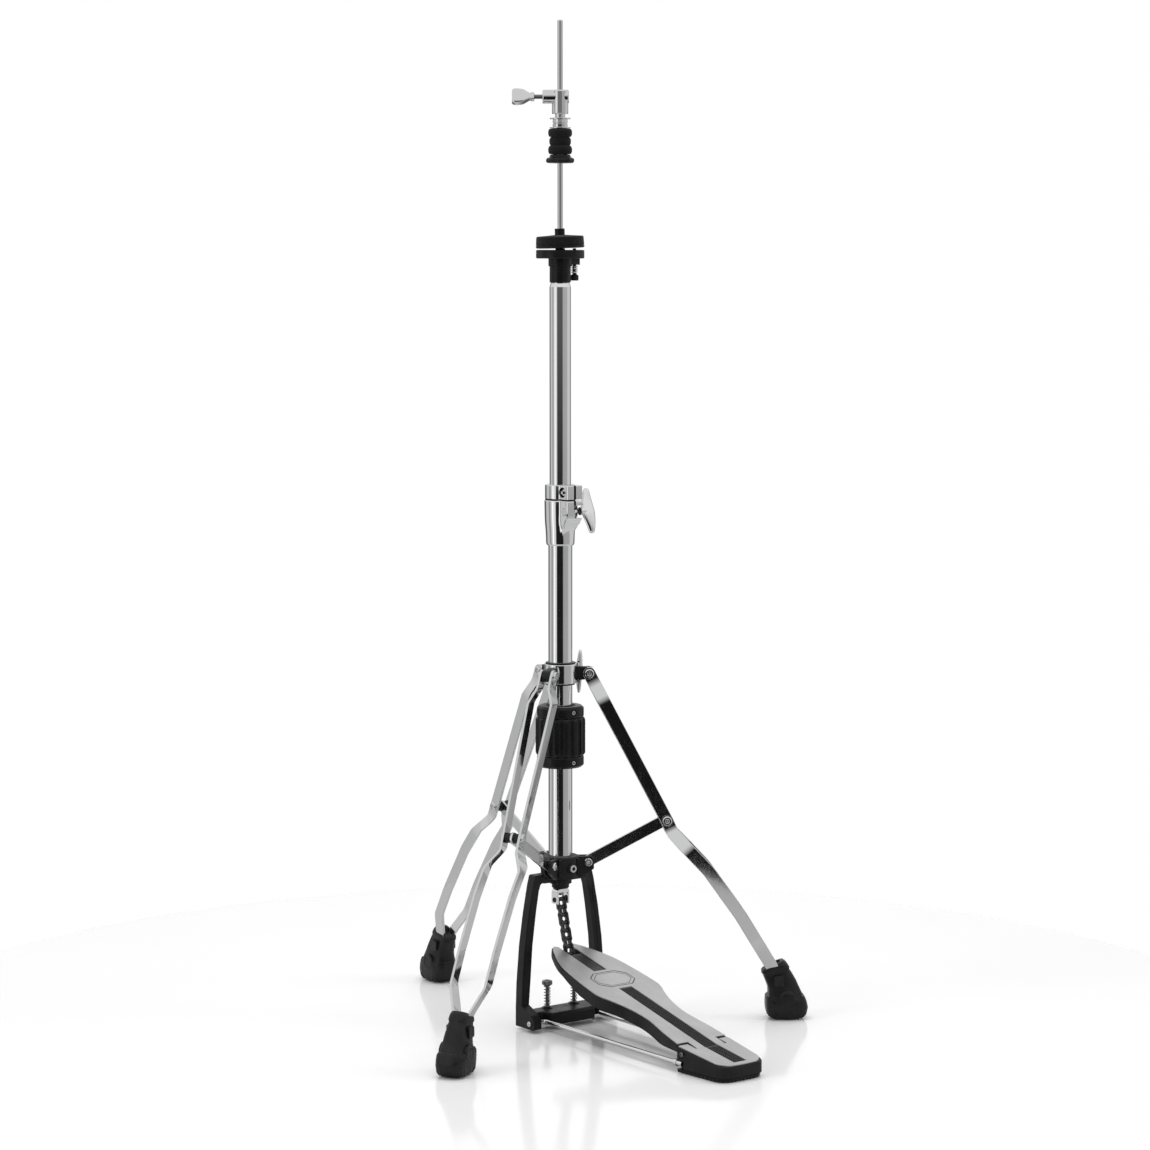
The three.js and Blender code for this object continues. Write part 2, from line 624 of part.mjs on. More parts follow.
// One strap on the +Y side of its leg; `extra` fattens it, for the pocket that it fits in.
function strapSolid(extra) {
  const seenFromSide = barOutline(strapSideLine(), STRAP_WIDTH + 2 * extra, true, false);
  const seenAlong = barOutline(strapFrontLine(), STRAP_THICKNESS + 2 * extra);
  const side = extrudedAlong('y', seenFromSide, 0, 40);
  const front = extrudedAlong('x', seenAlong, 0, FOOT_RADIUS + 20);
  return side.intersect(front);
}

// The strap with its holes and the fixed head of the middle pivot bolt.
function finishedStrap() {
  const face = STRAP_MID_HALF_GAP + STRAP_THICKNESS;
  const head = cylinderAlong('y', BOLT_HEAD_RADIUS, MID_PIVOT_RADIUS, MID_PIVOT_HEIGHT,
    face - 1, face + BOLT_HEAD_THICKNESS);
  const hole = cylinderAlong('y', PIVOT_RADIUS + GAP, COLLAR_PIVOT_RADIUS, COLLAR_HEIGHT, 0, 30);
  return cut(strapSolid(0).add(head), [hole]);
}

function mirroredAcrossLeg(solid) {
  return placed(solid, new THREE.Matrix4().makeScale(1, -1, 1));
}

function footSolid() {
  const r = FOOT_RADIUS;
  const top = FOOT_HEIGHT;
  const flange = FOOT_FLANGE;
  const side = extrudedAlong('y', [
    [r - 11, 2], [r, 0], [r + 11, 2], [r + 20, 9], [r + 25.5, 16], [r + 21, flange],
    [r + 17, flange + 3], [r + 8, top - 24], [r - 4, top - 4], [r - 9, top],
    [r - 13, top], [r - 30, top - 14], [r - 30.5, top - 20], [r - 22.5, flange + 8],
    [r - 26, flange + 1], [r - 26.5, 14], [r - 20, 6],
  ], -FOOT_WIDTH, FOOT_WIDTH);
  const half = FOOT_WIDTH / 2;
  const front = extrudedAlong('x', [
    [half - 3, -1], [half, 6], [half, flange - 1], [half - 3, flange + 2],
    [half - 5.5, top + 1], [-half + 5.5, top + 1], [-half + 3, flange + 2], [-half, flange - 1],
    [-half, 6], [-half + 3, -1],
  ], 0, r + 40);
  const boss = cylinderAlong('y', 10, r - 2, flange, -half + 0.4, half - 0.4);
  const pockets = [strapSolid(GAP), mirroredAcrossLeg(strapSolid(GAP))];
  return cut(side.intersect(front).add(boss), pockets);
}

function pivotBolt(reach) {
  const shank = cylinderAlong('y', PIVOT_RADIUS, 0, 0, -reach, reach);
  const heads = [-1, 1].map((side) => {
    const inner = side * (reach - 0.5);
    const outer = side * (reach + BOLT_HEAD_THICKNESS);
    return cylinderAlong('y', BOLT_HEAD_RADIUS, 0, 0, Math.min(inner, outer), Math.max(inner, outer));
  });
  return joined([shank, ...heads]);
}

function braceSolid() {
  const bar = extrudedAlong('y', barOutline(
    [[HUB_PIVOT_RADIUS, HUB_HEIGHT], [MID_PIVOT_RADIUS, MID_PIVOT_HEIGHT]], BRACE_WIDTH, true, true),
  -STRAP_THICKNESS / 2, STRAP_THICKNESS / 2);
  const ends = [
    cylinderAlong('y', PIVOT_RADIUS + GAP, HUB_PIVOT_RADIUS, HUB_HEIGHT, -5, 5),
    cylinderAlong('y', PIVOT_RADIUS + GAP, MID_PIVOT_RADIUS, MID_PIVOT_HEIGHT, -5, 5),
  ];
  return cut(bar, ends);
}

// The spool in the brace's outer end, which keeps the straps apart.
function spoolSolid() {
  const inner = STRAP_THICKNESS / 2 + GAP;
  const outer = STRAP_MID_HALF_GAP - GAP;
  return joined([
    cylinderAlong('y', PIVOT_RADIUS, 0, 0, -inner - 1, inner + 1),
    cylinderAlong('y', 6, 0, 0, inner, outer),
    cylinderAlong('y', 6, 0, 0, -outer, -inner),
  ]);
}

function addLegs() {
  const names = ['back', 'left', 'right'];
  names.forEach((name, leg) => {
    const group = new THREE.Group();
    group.rotation.z = legAngle(leg);
    stand.add(group);
    const strap = finishedStrap();
    addPiece(`${name}_leg_strap_a`, strap, CHROME, group);
    addPiece(`${name}_leg_strap_b`, mirroredAcrossLeg(strap), CHROME, group);
    addPiece(`${name}_foot`, footSolid(), RUBBER, group);
    const topReach = STRAP_TOP_HALF_GAP + STRAP_THICKNESS + GAP + 0.5;
    const topBolt = addPiece(`${name}_leg_bolt`, pivotBolt(topReach), CHROME, group);
    topBolt.position.set(COLLAR_PIVOT_RADIUS, 0, COLLAR_HEIGHT);
    addPiece(`${name}_brace`, braceSolid(), CHROME, group);
    const spool = addPiece(`${name}_brace_spool`, spoolSolid(), RUBBER, group);
    spool.position.set(MID_PIVOT_RADIUS, 0, MID_PIVOT_HEIGHT);
    const hubPin = addPiece(`${name}_hub_pin`, pivotBolt(CLEVIS_HALF_WIDTH + GAP + 0.5), CHROME, group);
    hubPin.position.set(HUB_PIVOT_RADIUS, 0, HUB_HEIGHT);
  });
}

// ---- Base frame ---------------------------------------------------------------------------

const LUG_TOP = 27;

function uprightSolid() {
  const half = UPRIGHT_WIDTH / 2;
  const shoulder = UPRIGHT_SHOULDER;
  const middleLine = [
    [shoulder - 10, SHOULDER_HEIGHT - half], [shoulder, SHOULDER_HEIGHT - half],
    [shoulder + 4, SHOULDER_HEIGHT - 30], [UPRIGHT_FOOT - 5, 100], [UPRIGHT_FOOT - 1, 55],
    [UPRIGHT_FOOT, LUG_TOP], [UPRIGHT_FOOT, 3.5],
  ];
  const bar = extrudedAlong('y', barOutline(middleLine, UPRIGHT_WIDTH),
    -UPRIGHT_DEPTH / 2, UPRIGHT_DEPTH / 2);
  const lug = extrudedAlong('x', [
    [0, 3.5], [-LUG_REACH + 2, 3.5], [-LUG_REACH, 6], [-LUG_REACH, 15], [-LUG_REACH + 6, 20],
    [-UPRIGHT_DEPTH / 2, LUG_TOP], [0, LUG_TOP],
  ], UPRIGHT_FOOT - half, UPRIGHT_FOOT + half);
  const hole = cylinderAlong('x', WIRE_RADIUS + GAP, -LUG_REACH + 8, PIN_HEIGHT,
    UPRIGHT_FOOT - half - 1, UPRIGHT_FOOT + half + 1);
  return cut(bar.add(lug), [hole]);
}

function basePlateSolid() {
  const end = UPRIGHT_FOOT - UPRIGHT_WIDTH / 2 - GAP;
  const front = -BASE_PLATE_FRONT;
  const back = UPRIGHT_DEPTH / 2;
  const clear = WIRE_SPACING / 2 - 2;
  const plate = extrudedAlong('z', [
    [-end, -14], [-clear, -14], [-clear + 6, front], [clear - 6, front], [clear, -14], [end, -14],
    [end, back - 2], [end - 20, back + 3], [-end + 20, back + 3], [-end, back - 2],
  ], 5, BASE_PLATE_TOP);
  const holes = [-1, 1].map((side) => cylinderAlong('z', 2 + SLIDE_GAP,
    (side * SPUR_SPACING) / 2, 0, 0, BASE_PLATE_TOP + 1));
  return cut(plate, holes);
}

// A spur screw: a spiked shank, a flange that rests on the base plate and a round head.
function spurSolid() {
  const flange = BASE_PLATE_TOP + GAP;
  return turned([
    [0, 1], [2, 5], [2, flange], [5, flange], [5, flange + 1.5], [2, flange + 4],
    [2, SPUR_TOP - 7], [SPUR_RADIUS, SPUR_TOP - 6], [SPUR_RADIUS, SPUR_TOP - 1],
    [SPUR_RADIUS - 1, SPUR_TOP], [0, SPUR_TOP],
  ], SMALL_ROUND);
}

// One of the two wires that hold the heel at its distance from the base.
function rodSolid() {
  const outside = UPRIGHT_FOOT + UPRIGHT_WIDTH / 2 - 2;
  const bend = WIRE_SPACING / 2 + 2;
  const start = -LUG_REACH + 8;
  const corner = new THREE.Vector3(bend, start, PIN_HEIGHT);
  const heelEnd = new THREE.Vector3(WIRE_SPACING / 2 - 2, HEEL_PIN_Y, PIN_HEIGHT);
  const leg = cylinderAlong('x', WIRE_RADIUS, start, PIN_HEIGHT, bend, outside);
  const elbow = solidOf(new THREE.SphereGeometry(WIRE_RADIUS, SMALL_ROUND, 6)
    .rotateX(Math.PI / 2).translate(...corner));
  const run = wire(new THREE.LineCurve3(corner, heelEnd), WIRE_RADIUS, 1, SMALL_ROUND);
  return joined([leg, elbow, run]);
}

function addBaseFrame() {
  const upright = uprightSolid();
  const rod = rodSolid();
  const mirror = new THREE.Matrix4().makeScale(-1, 1, 1);
  addPiece('right_upright', upright, BLACK_METAL);
  addPiece('left_upright', placed(upright, mirror), BLACK_METAL);
  addPiece('base_plate', basePlateSolid(), BLACK_METAL);
  addPiece('right_rod', rod, CHROME);
  addPiece('left_rod', placed(rod, mirror), CHROME);
  [['left_spur', -1], ['right_spur', 1]].forEach(([name, side]) => {
    const spur = addPiece(name, spurSolid(), CHROME);
    spur.position.x = (side * SPUR_SPACING) / 2;
  });
}

// ---- Heel ---------------------------------------------------------------------------------

const KNUCKLE_HALF_WIDTH = 18;
const KNUCKLE_RADIUS = 5.3;
const HEEL_FRONT = HEEL_PIN_Y + 8.5;
const HEEL_REAR = HEEL_FRONT - HEEL_LENGTH;

// Plan outline of the heel, drawn in by `inset`.
function heelPlan(inset) {
  const half = HEEL_HALF_WIDTH - inset;
  const rear = HEEL_REAR + inset;
  const shape = new THREE.Shape();
  shape.moveTo(-half, HEEL_FRONT + 1);
  shape.lineTo(-half + 5, rear + 14);
  shape.quadraticCurveTo(-half + 7, rear + 2, -half + 16, rear + 1);
  shape.quadraticCurveTo(0, rear - 1, half - 16, rear + 1);
  shape.quadraticCurveTo(half - 7, rear + 2, half - 5, rear + 14);
  shape.lineTo(half, HEEL_FRONT + 1);
  return shape;
}

// A slice of the heel between two depths under its sloping top face.
function heelSlice(upper, lower, inset, front) {
  const side = extrudedAlong('x', [
    [front, HEEL_TOP_FRONT - upper], [front, HEEL_TOP_FRONT - lower],
    [HEEL_REAR - 2, HEEL_TOP_REAR - lower], [HEEL_REAR - 2, HEEL_TOP_REAR - upper],
  ], -60, 60);
  return side.intersect(extrudedAlong('z', heelPlan(inset), 0, HEEL_TOP_FRONT + 5));
}

function addHeel() {
  const under = PLATE_THICKNESS + GAP;
  const block = extrudedAlong('x', [
    [HEEL_FRONT, SOLE_THICKNESS + GAP], [HEEL_FRONT, HEEL_TOP_FRONT - under],
    [HEEL_REAR - 2, HEEL_TOP_REAR - under], [HEEL_REAR - 2, SOLE_THICKNESS + GAP],
  ], -60, 60).intersect(extrudedAlong('z', heelPlan(0), 0, HEEL_TOP_FRONT + 5));
  const pocketHalf = KNUCKLE_HALF_WIDTH + GAP;
  const tools = [
    box([-pocketHalf, pocketHalf], [HEEL_PIN_Y - 8, HEEL_FRONT + 2],
      [HEEL_PIN_HEIGHT - KNUCKLE_RADIUS - 2.5, HEEL_TOP_FRONT + 5]),
    cylinderAlong('x', HEEL_PIN_RADIUS + GAP, HEEL_PIN_Y, HEEL_PIN_HEIGHT, -50, 50),
  ];
  [-1, 1].forEach((side) => {
    const x = side * (WIRE_SPACING / 2 - 2);
    tools.push(box([x - 4.2, x + 4.2], [HEEL_PIN_Y - 2, HEEL_FRONT + 2],
      [SOLE_THICKNESS, PIN_HEIGHT + WIRE_RADIUS + GAP]));
  });
  addPiece('heel_casting', cut(block, tools), BLACK_METAL);

  const plate = heelSlice(0, PLATE_THICKNESS, 1.5, HEEL_FRONT - 1);
  addPiece('heel_plate', plate, BRUSHED);
  addPiece('heel_sole', extrudedAlong('z', heelPlan(0.5), 0, SOLE_THICKNESS), RUBBER);
  const pin = cylinderAlong('x', HEEL_PIN_RADIUS, HEEL_PIN_Y, HEEL_PIN_HEIGHT, -35, 35);
  addPiece('heel_hinge_pin', pin, CHROME);
}

// ---- Footboard ----------------------------------------------------------------------------

// The board is made flat in its own frame: X across, Y from the heel pin towards the toe,
// Z out of the top face. The group then lifts it to its slope.
const BOARD_SLOPE = Math.asin(
  (TOE_HEIGHT - HEEL_PIN_HEIGHT) / Math.hypot(HEEL_PIN_Y, TOE_HEIGHT - HEEL_PIN_HEIGHT),
) - Math.asin(BOARD_TOP / Math.hypot(HEEL_PIN_Y, TOE_HEIGHT - HEEL_PIN_HEIGHT));
const BOARD_LENGTH = -HEEL_PIN_Y * Math.cos(BOARD_SLOPE)
  + (TOE_HEIGHT - HEEL_PIN_HEIGHT) * Math.sin(BOARD_SLOPE) - 4.6;
const BOARD_START = 11.2;
const CASTING_TOP = BOARD_TOP - PLATE_THICKNESS - GAP;

// Plan outline of the board: waisted over the instep, wide under the ball, forked at the toe.
function boardPlan(inset, end) {
  const length = BOARD_LENGTH - inset;
  const rightEdge = [
    [36 - inset, BOARD_START + end], [33.5 - inset, 42], [29 - inset, 77], [32.5 - inset, 108],
    [40 - inset, 132], [46 - inset, 147], [47.5 - inset, 162], [44.7 - inset, 201],
    [39 - inset, length - 46], [26 - inset, length - 15], [19 - inset, length - 4],
    [13, length],
  ];
  const curve = new THREE.SplineCurve(rightEdge.map(([x, y]) => new THREE.Vector2(x, y)));
  const right = curve.getPoints(22).map(({ x, y }) => [x, y]);
  const notch = [[STRIP_HALF_WIDTH, length - 3], [-STRIP_HALF_WIDTH, length - 3]];
  const left = right.map(([x, y]) => [-x, y]).reverse();
  return [...right, ...notch, ...left];
}

function footboardSolid() {
  const low = BOARD_TOP - BOARD_THICKNESS;
  const board = extrudedAlong('z', boardPlan(0, 0), low, CASTING_TOP);
  const tongue = box([-KNUCKLE_HALF_WIDTH, KNUCKLE_HALF_WIDTH], [0, BOARD_START + 2], [low, 3.5]);
  const knuckle = cylinderAlong('x', KNUCKLE_RADIUS, 0, 0, -KNUCKLE_HALF_WIDTH, KNUCKLE_HALF_WIDTH);
  const anchor = anchorOnBoard();
  return cut(joined([board, tongue, knuckle]), [
    cylinderAlong('x', HEEL_PIN_RADIUS + SLIDE_GAP, 0, 0, -30, 30),
    box([-STRIP_HALF_WIDTH, STRIP_HALF_WIDTH], [BOARD_LENGTH - TOE_GAP_LENGTH, BOARD_LENGTH + 5],
      [low - 5, BOARD_TOP + 1]),
    box([-STRIP_HALF_WIDTH, STRIP_HALF_WIDTH], [BOARD_START - 1, BOARD_LENGTH],
      [CASTING_TOP - 2.5, BOARD_TOP + 1]),
    cylinderAlong('x', LINK_PIN_RADIUS + 1.2, anchor.y, anchor.z, -13, 13),
  ]);
}

// Where the chain's last pin lies, in the board's own frame.
function anchorOnBoard() {
  const drop = CHAIN_PITCH * CHAIN_PITCHES;
  const z = YOKE_PIN_HEIGHT - Math.sqrt(drop * drop - CHAIN_ANCHOR_Y * CHAIN_ANCHOR_Y);
  const along = CHAIN_ANCHOR_Y - HEEL_PIN_Y;
  const up = z - HEEL_PIN_HEIGHT;
  return {
    y: along * Math.cos(BOARD_SLOPE) + up * Math.sin(BOARD_SLOPE),
    z: -along * Math.sin(BOARD_SLOPE) + up * Math.cos(BOARD_SLOPE),
  };
}

function boardPlateSolid() {
  const plate = extrudedAlong('z', boardPlan(1.5, 0), CASTING_TOP + GAP, BOARD_TOP);
  const half = STRIP_HALF_WIDTH + GAP;
  return cut(plate, [
    box([-half, half], [BADGE_FAR, BOARD_LENGTH + 5], [0, BOARD_TOP + 1]),
    box([-half, half], [BOARD_START - 5, BADGE_NEAR], [0, BOARD_TOP + 1]),
  ]);
}

function boardGripSolid() {
  const half = STRIP_HALF_WIDTH - GAP;
  const end = BOARD_LENGTH - TOE_GAP_LENGTH - GAP;
  const low = CASTING_TOP - 2.5 + GAP;
  return joined([
    box([-half, half], [BOARD_START, end], [low, CASTING_TOP]),
    box([-half, half], [BADGE_FAR + GAP, end], [low, BOARD_TOP - GAP]),
    box([-half, half], [BOARD_START, BADGE_NEAR - GAP], [low, BOARD_TOP - GAP]),
  ]);
}

function addFootboard() {
  const board = new THREE.Group();
  board.position.set(0, HEEL_PIN_Y, HEEL_PIN_HEIGHT);
  board.rotation.x = BOARD_SLOPE;
  stand.add(board);
  addPiece('footboard', footboardSolid(), BLACK_METAL, board);
  addPiece('footboard_plate', boardPlateSolid(), BRUSHED, board);
  addPiece('footboard_grip', boardGripSolid(), RUBBER, board);
}

// ---- Pull rod, yoke and chain -------------------------------------------------------------

const YOKE_TOP = YOKE_PIN_HEIGHT + 13.5;

function addPullRod() {
  const flange = ROD_FLANGE_BOTTOM;
  const rod = turned([
    [0, YOKE_TOP - 6], [ROD_RADIUS, YOKE_TOP - 6], [ROD_RADIUS, flange],
    [ROD_FLANGE_RADIUS, flange], [ROD_FLANGE_RADIUS, flange + ROD_FLANGE_THICKNESS],
    [ROD_RADIUS, flange + ROD_FLANGE_THICKNESS],
    [ROD_RADIUS, ROD_TOP - 1], [ROD_RADIUS - 0.8, ROD_TOP], [0, ROD_TOP],
  ], SMALL_ROUND);
  addPiece('pull_rod', rod, CHROME);

  const half = YOKE_HALF_WIDTH;
  const bottom = YOKE_PIN_HEIGHT - 5;
  const inner = half - YOKE_WALL;
  const outline = [
    [-half, bottom], [-half, YOKE_TOP - 3], [-half + 3, YOKE_TOP], [half - 3, YOKE_TOP],
    [half, YOKE_TOP - 3], [half, bottom], [inner, bottom], [inner, YOKE_TOP - 4.5],
    [-inner, YOKE_TOP - 4.5], [-inner, bottom],
  ];
  const yoke = cut(extrudedAlong('y', outline, -6, 6), [
    cylinderAlong('z', ROD_RADIUS + GAP, 0, 0, YOKE_TOP - 10, YOKE_TOP + 1),
    cylinderAlong('x', LINK_PIN_RADIUS + GAP, 0, YOKE_PIN_HEIGHT, -half - 1, half + 1),
  ]);
  addPiece('chain_yoke', yoke, CHROME);
}

// The chain hangs down from its first pin at the origin; the mesh's rotation leans it.
function addChain() {
  const parts = [];
  for (let link = 0; link < CHAIN_PITCHES; link += 1) {
    const top = -link * CHAIN_PITCH;
    const outer = link % 2 === 0 ? 5.1 : 3.8;
    const plate = barOutline([[0, top], [0, top - CHAIN_PITCH]], 2 * LINK_HALF_HEIGHT, true, true, 4);
    [-outer, outer - 1.2].forEach((x) => {
      parts.push(extrudedAlong('x', plate, x, x + 1.2));
    });
  }
  for (let pin = 0; pin <= CHAIN_PITCHES; pin += 1) {
    const z = -pin * CHAIN_PITCH;
    const isEnd = pin === 0 || pin === CHAIN_PITCHES;
    const reach = isEnd ? YOKE_HALF_WIDTH - 0.4 : 5.5;
    parts.push(cylinderAlong('x', LINK_PIN_RADIUS, 0, z, -reach, reach, 6));
  }
  const chain = addPiece('chain', joined(parts), BLACK_METAL);
  chain.position.z = YOKE_PIN_HEIGHT;
  chain.rotation.x = Math.asin(CHAIN_ANCHOR_Y / (CHAIN_PITCH * CHAIN_PITCHES));
}

// ---- Cymbal seat --------------------------------------------------------------------------

function addSeat() {
  const plateTop = STEM_PLATE_TOP;
  const plateBottom = plateTop - SEAT_PLATE;
  const spigot = UPPER_TUBE_RADIUS - TUBE_WALL - GAP;
  const hole = ROD_RADIUS + SLIDE_GAP;
  const stem = turned([
    [hole, STEM_BOTTOM - 18], [spigot, STEM_BOTTOM - 18], [spigot, STEM_BOTTOM],
    [STEM_RADIUS, STEM_BOTTOM], [STEM_RADIUS, plateBottom - 9], [STEM_RADIUS + 1, plateBottom - 8],
    [STEM_RADIUS + 1, plateBottom], [SEAT_RADIUS - 0.5, plateBottom],
    [SEAT_RADIUS, plateBottom + 0.5], [SEAT_RADIUS, plateTop - 0.5], [SEAT_RADIUS - 0.5, plateTop],
    [NUB_RADIUS, plateTop], [NUB_RADIUS, SEAT_BASE - 0.4], [hole, SEAT_BASE - 0.4],
  ]);
  const boss = box([STEM_RADIUS - 3, 27], [-6, 6], [plateBottom - 7, plateBottom + 1]);
  const screwHole = cylinderAlong('z', 2.2 + GAP, TILT_SCREW_OFFSET, 0, plateBottom - 9, plateTop + 1);
  addPiece('seat_stem', cut(stem.add(boss), [screwHole]), BLACK_METAL);

  const screw = turned([
    [0, plateBottom - 26], [4.5, plateBottom - 26], [4.5, plateBottom - 19], [2.2, plateBottom - 18],
    [2.2, SEAT_BASE - GAP], [0, SEAT_BASE - GAP],
  ], SMALL_ROUND);
  const tiltScrew = addPiece('tilt_screw', screw, BLACK_METAL);
  tiltScrew.position.x = TILT_SCREW_OFFSET;

  const seat = new THREE.Group();
  seat.position.z = SEAT_BASE;
  seat.rotation.y = -SEAT_TILT;
  stand.add(seat);
  const nubTop = CUP_THICKNESS + GAP + FELT_THICKNESS + NUB_RISE;
  const bore = NUB_RADIUS - 1;
  const cup = turned([
    [bore, 0], [SEAT_RADIUS - 0.6, 0], [SEAT_RADIUS, 0.6], [SEAT_RADIUS, CUP_THICKNESS],
    [NUB_RADIUS, CUP_THICKNESS], [NUB_RADIUS, nubTop - 0.5], [NUB_RADIUS - 0.4, nubTop],
    [bore, nubTop],
  ]);
  addPiece('seat_cup', cup, BLACK_METAL, seat);
  const feltLow = CUP_THICKNESS + GAP;
  const feltHigh = feltLow + FELT_THICKNESS;
  const felt = turned([
    [NUB_RADIUS + GAP, feltLow], [SEAT_RADIUS - 0.3, feltLow], [SEAT_RADIUS - 1, feltHigh - 1],
    [SEAT_RADIUS - 2.4, feltHigh], [NUB_RADIUS + GAP, feltHigh],
  ]);
  addPiece('seat_felt', felt, FELT, seat);
}

// ---- Clutch -------------------------------------------------------------------------------

const BARREL_HALF_LENGTH = 15.5;
const SLEEVE_LENGTH = 12;
const WASHER_RADIUS = 12;
const CLUTCH_NUT_TOP = CLUTCH_HEIGHT - 67.6;

function addClutch() {
  const clutch = new THREE.Group();
  clutch.position.z = CLUTCH_HEIGHT;
  clutch.rotation.z = CLUTCH_TURN;
  stand.add(clutch);

  const sleeveBottom = -CLUTCH_BARREL_RADIUS - SLEEVE_LENGTH;
  const washers = sleeveBottom - 4.5;
  const felts = washers - 12.4;
  const feltBottom = felts - CLUTCH_FELT_LENGTH;
  const nutBottom = feltBottom - GAP - CLUTCH_NUT_LENGTH;
  const bore = ROD_RADIUS + SLIDE_GAP;
  const spindle = turned([
    [bore, nutBottom + 1], [CLUTCH_TUBE_RADIUS - 1, nutBottom + 1], [CLUTCH_TUBE_RADIUS - 1, washers - 12],
    [WASHER_RADIUS, washers - 12], [WASHER_RADIUS, washers - 10.5], [8.5, washers - 10.5],
    [8.5, washers - 1.5], [WASHER_RADIUS, washers - 1.5], [WASHER_RADIUS, washers],
    [CLUTCH_TUBE_RADIUS, washers], [CLUTCH_TUBE_RADIUS, sleeveBottom], [9.5, sleeveBottom],
    [9.5, CLUTCH_BARREL_RADIUS - 1], [8.5, CLUTCH_BARREL_RADIUS], [bore, CLUTCH_BARREL_RADIUS],
  ]);
  const barrel = cylinderAlong('x', CLUTCH_BARREL_RADIUS, 0, 0, -10, 2 * BARREL_HALF_LENGTH - 10, ROUND);
  const body = cut(spindle.add(barrel), [
    cylinderAlong('z', bore, 0, 0, nutBottom, CLUTCH_BARREL_RADIUS + 1, ROUND),
    cylinderAlong('x', PIVOT_RADIUS + SLIDE_GAP, 0, 0, 0, 40),
  ]);
  addPiece('clutch_body', body, CHROME, clutch);

  const keyStart = 2 * BARREL_HALF_LENGTH - 10 + 9;
  const key = joined([
    cylinderAlong('x', PIVOT_RADIUS, 0, 0, ROD_RADIUS + GAP, keyStart + 3),
    extrudedAlong('y', [
      [keyStart, -4], [keyStart + 8, -5], [keyStart + 12, -9], [keyStart + 24, -9],
      [keyStart + 26, -7], [keyStart + 26, 7], [keyStart + 24, 9], [keyStart + 13, 8],
      [keyStart + 8, 5], [keyStart, 4],
    ], -5, 5),
  ]);
  addPiece('clutch_screw', key, CHROME, clutch);

  const felt = CLUTCH_FELT_RADIUS;
  const third = CLUTCH_FELT_LENGTH / 3;
  const inner = CLUTCH_TUBE_RADIUS - 1 + GAP;
  const feltStack = turned([
    [inner, feltBottom], [felt - 4, feltBottom], [felt, feltBottom + 5],
    [felt - 1, feltBottom + third], [felt - 0.6, feltBottom + third * 1.5],
    [felt - 1, feltBottom + third * 2], [felt, felts - 6], [felt - 4, felts - GAP],
    [inner, felts - GAP],
  ]);
  addPiece('clutch_felts', feltStack, FELT, clutch);

  const nutTop = feltBottom - GAP;
  const nut = turned([
    [inner, nutBottom], [CLUTCH_NUT_RADIUS - 1.5, nutBottom], [CLUTCH_NUT_RADIUS, nutBottom + 1.5],
    [CLUTCH_NUT_RADIUS, nutTop - 4], [CLUTCH_NUT_RADIUS - 2, nutTop - 2.6],
    [CLUTCH_NUT_RADIUS - 4, nutTop], [inner, nutTop],
  ]);
  addPiece('clutch_nut', nut, BLACK_METAL, clutch);
}

// ---- The stand ----------------------------------------------------------------------------

addTubes();
addClamp();
addMemoryLock();
addClampWingBolt();
addHousing();
addHub();
addCollar();
addLegs();
addBaseFrame();
addHeel();
addFootboard();
addPullRod();
addChain();
addSeat();
addClutch();

// The origin is on the floor, under the middle of the stand's bounding box.
const bounds = new THREE.Box3().setFromObject(stand, true);
const middle = bounds.getCenter(new THREE.Vector3());
stand.position.set(-middle.x, -middle.y, -bounds.min.z);

const hiHatStand = new THREE.Group();
hiHatStand.add(stand);

export default hiHatStand;
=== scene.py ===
"""Looks of a hi-hat stand with a folding tripod, a chain pedal, a cymbal seat and a clutch.

Sizes are millimetres in the stand's own frame: the tubes stand on the Z axis, the floor is
at z = 0 and the pedal's heel points along -Y. TO_FRAME takes them to the row frame.
"""

import json
from math import (acos, asin, atan2, ceil, copysign, cos, exp, hypot, pi, radians, sin, sqrt, tan)

import bmesh
import bpy
from mathutils import Matrix, Vector

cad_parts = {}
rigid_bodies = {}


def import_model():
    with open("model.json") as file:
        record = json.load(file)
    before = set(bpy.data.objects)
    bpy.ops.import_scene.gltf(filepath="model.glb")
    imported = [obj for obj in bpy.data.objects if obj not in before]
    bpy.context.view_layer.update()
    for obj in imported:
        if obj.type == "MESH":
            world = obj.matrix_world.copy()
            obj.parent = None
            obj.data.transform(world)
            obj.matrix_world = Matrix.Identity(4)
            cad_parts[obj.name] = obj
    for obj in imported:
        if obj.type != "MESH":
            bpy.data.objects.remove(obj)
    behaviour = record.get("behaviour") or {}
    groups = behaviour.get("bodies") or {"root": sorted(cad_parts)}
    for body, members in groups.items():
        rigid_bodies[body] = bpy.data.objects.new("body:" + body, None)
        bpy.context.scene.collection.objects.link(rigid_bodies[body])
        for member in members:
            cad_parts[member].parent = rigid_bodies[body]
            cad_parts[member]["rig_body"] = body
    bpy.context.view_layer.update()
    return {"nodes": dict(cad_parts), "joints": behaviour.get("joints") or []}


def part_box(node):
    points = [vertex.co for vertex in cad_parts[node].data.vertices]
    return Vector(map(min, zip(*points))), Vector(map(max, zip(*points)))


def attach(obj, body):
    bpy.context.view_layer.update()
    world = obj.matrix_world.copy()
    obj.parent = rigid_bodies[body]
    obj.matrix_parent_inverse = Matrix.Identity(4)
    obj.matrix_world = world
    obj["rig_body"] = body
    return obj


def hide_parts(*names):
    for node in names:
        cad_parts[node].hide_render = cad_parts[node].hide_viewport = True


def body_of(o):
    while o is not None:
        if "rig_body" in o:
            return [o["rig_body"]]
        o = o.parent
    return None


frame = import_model()

# ---- The row frame ----

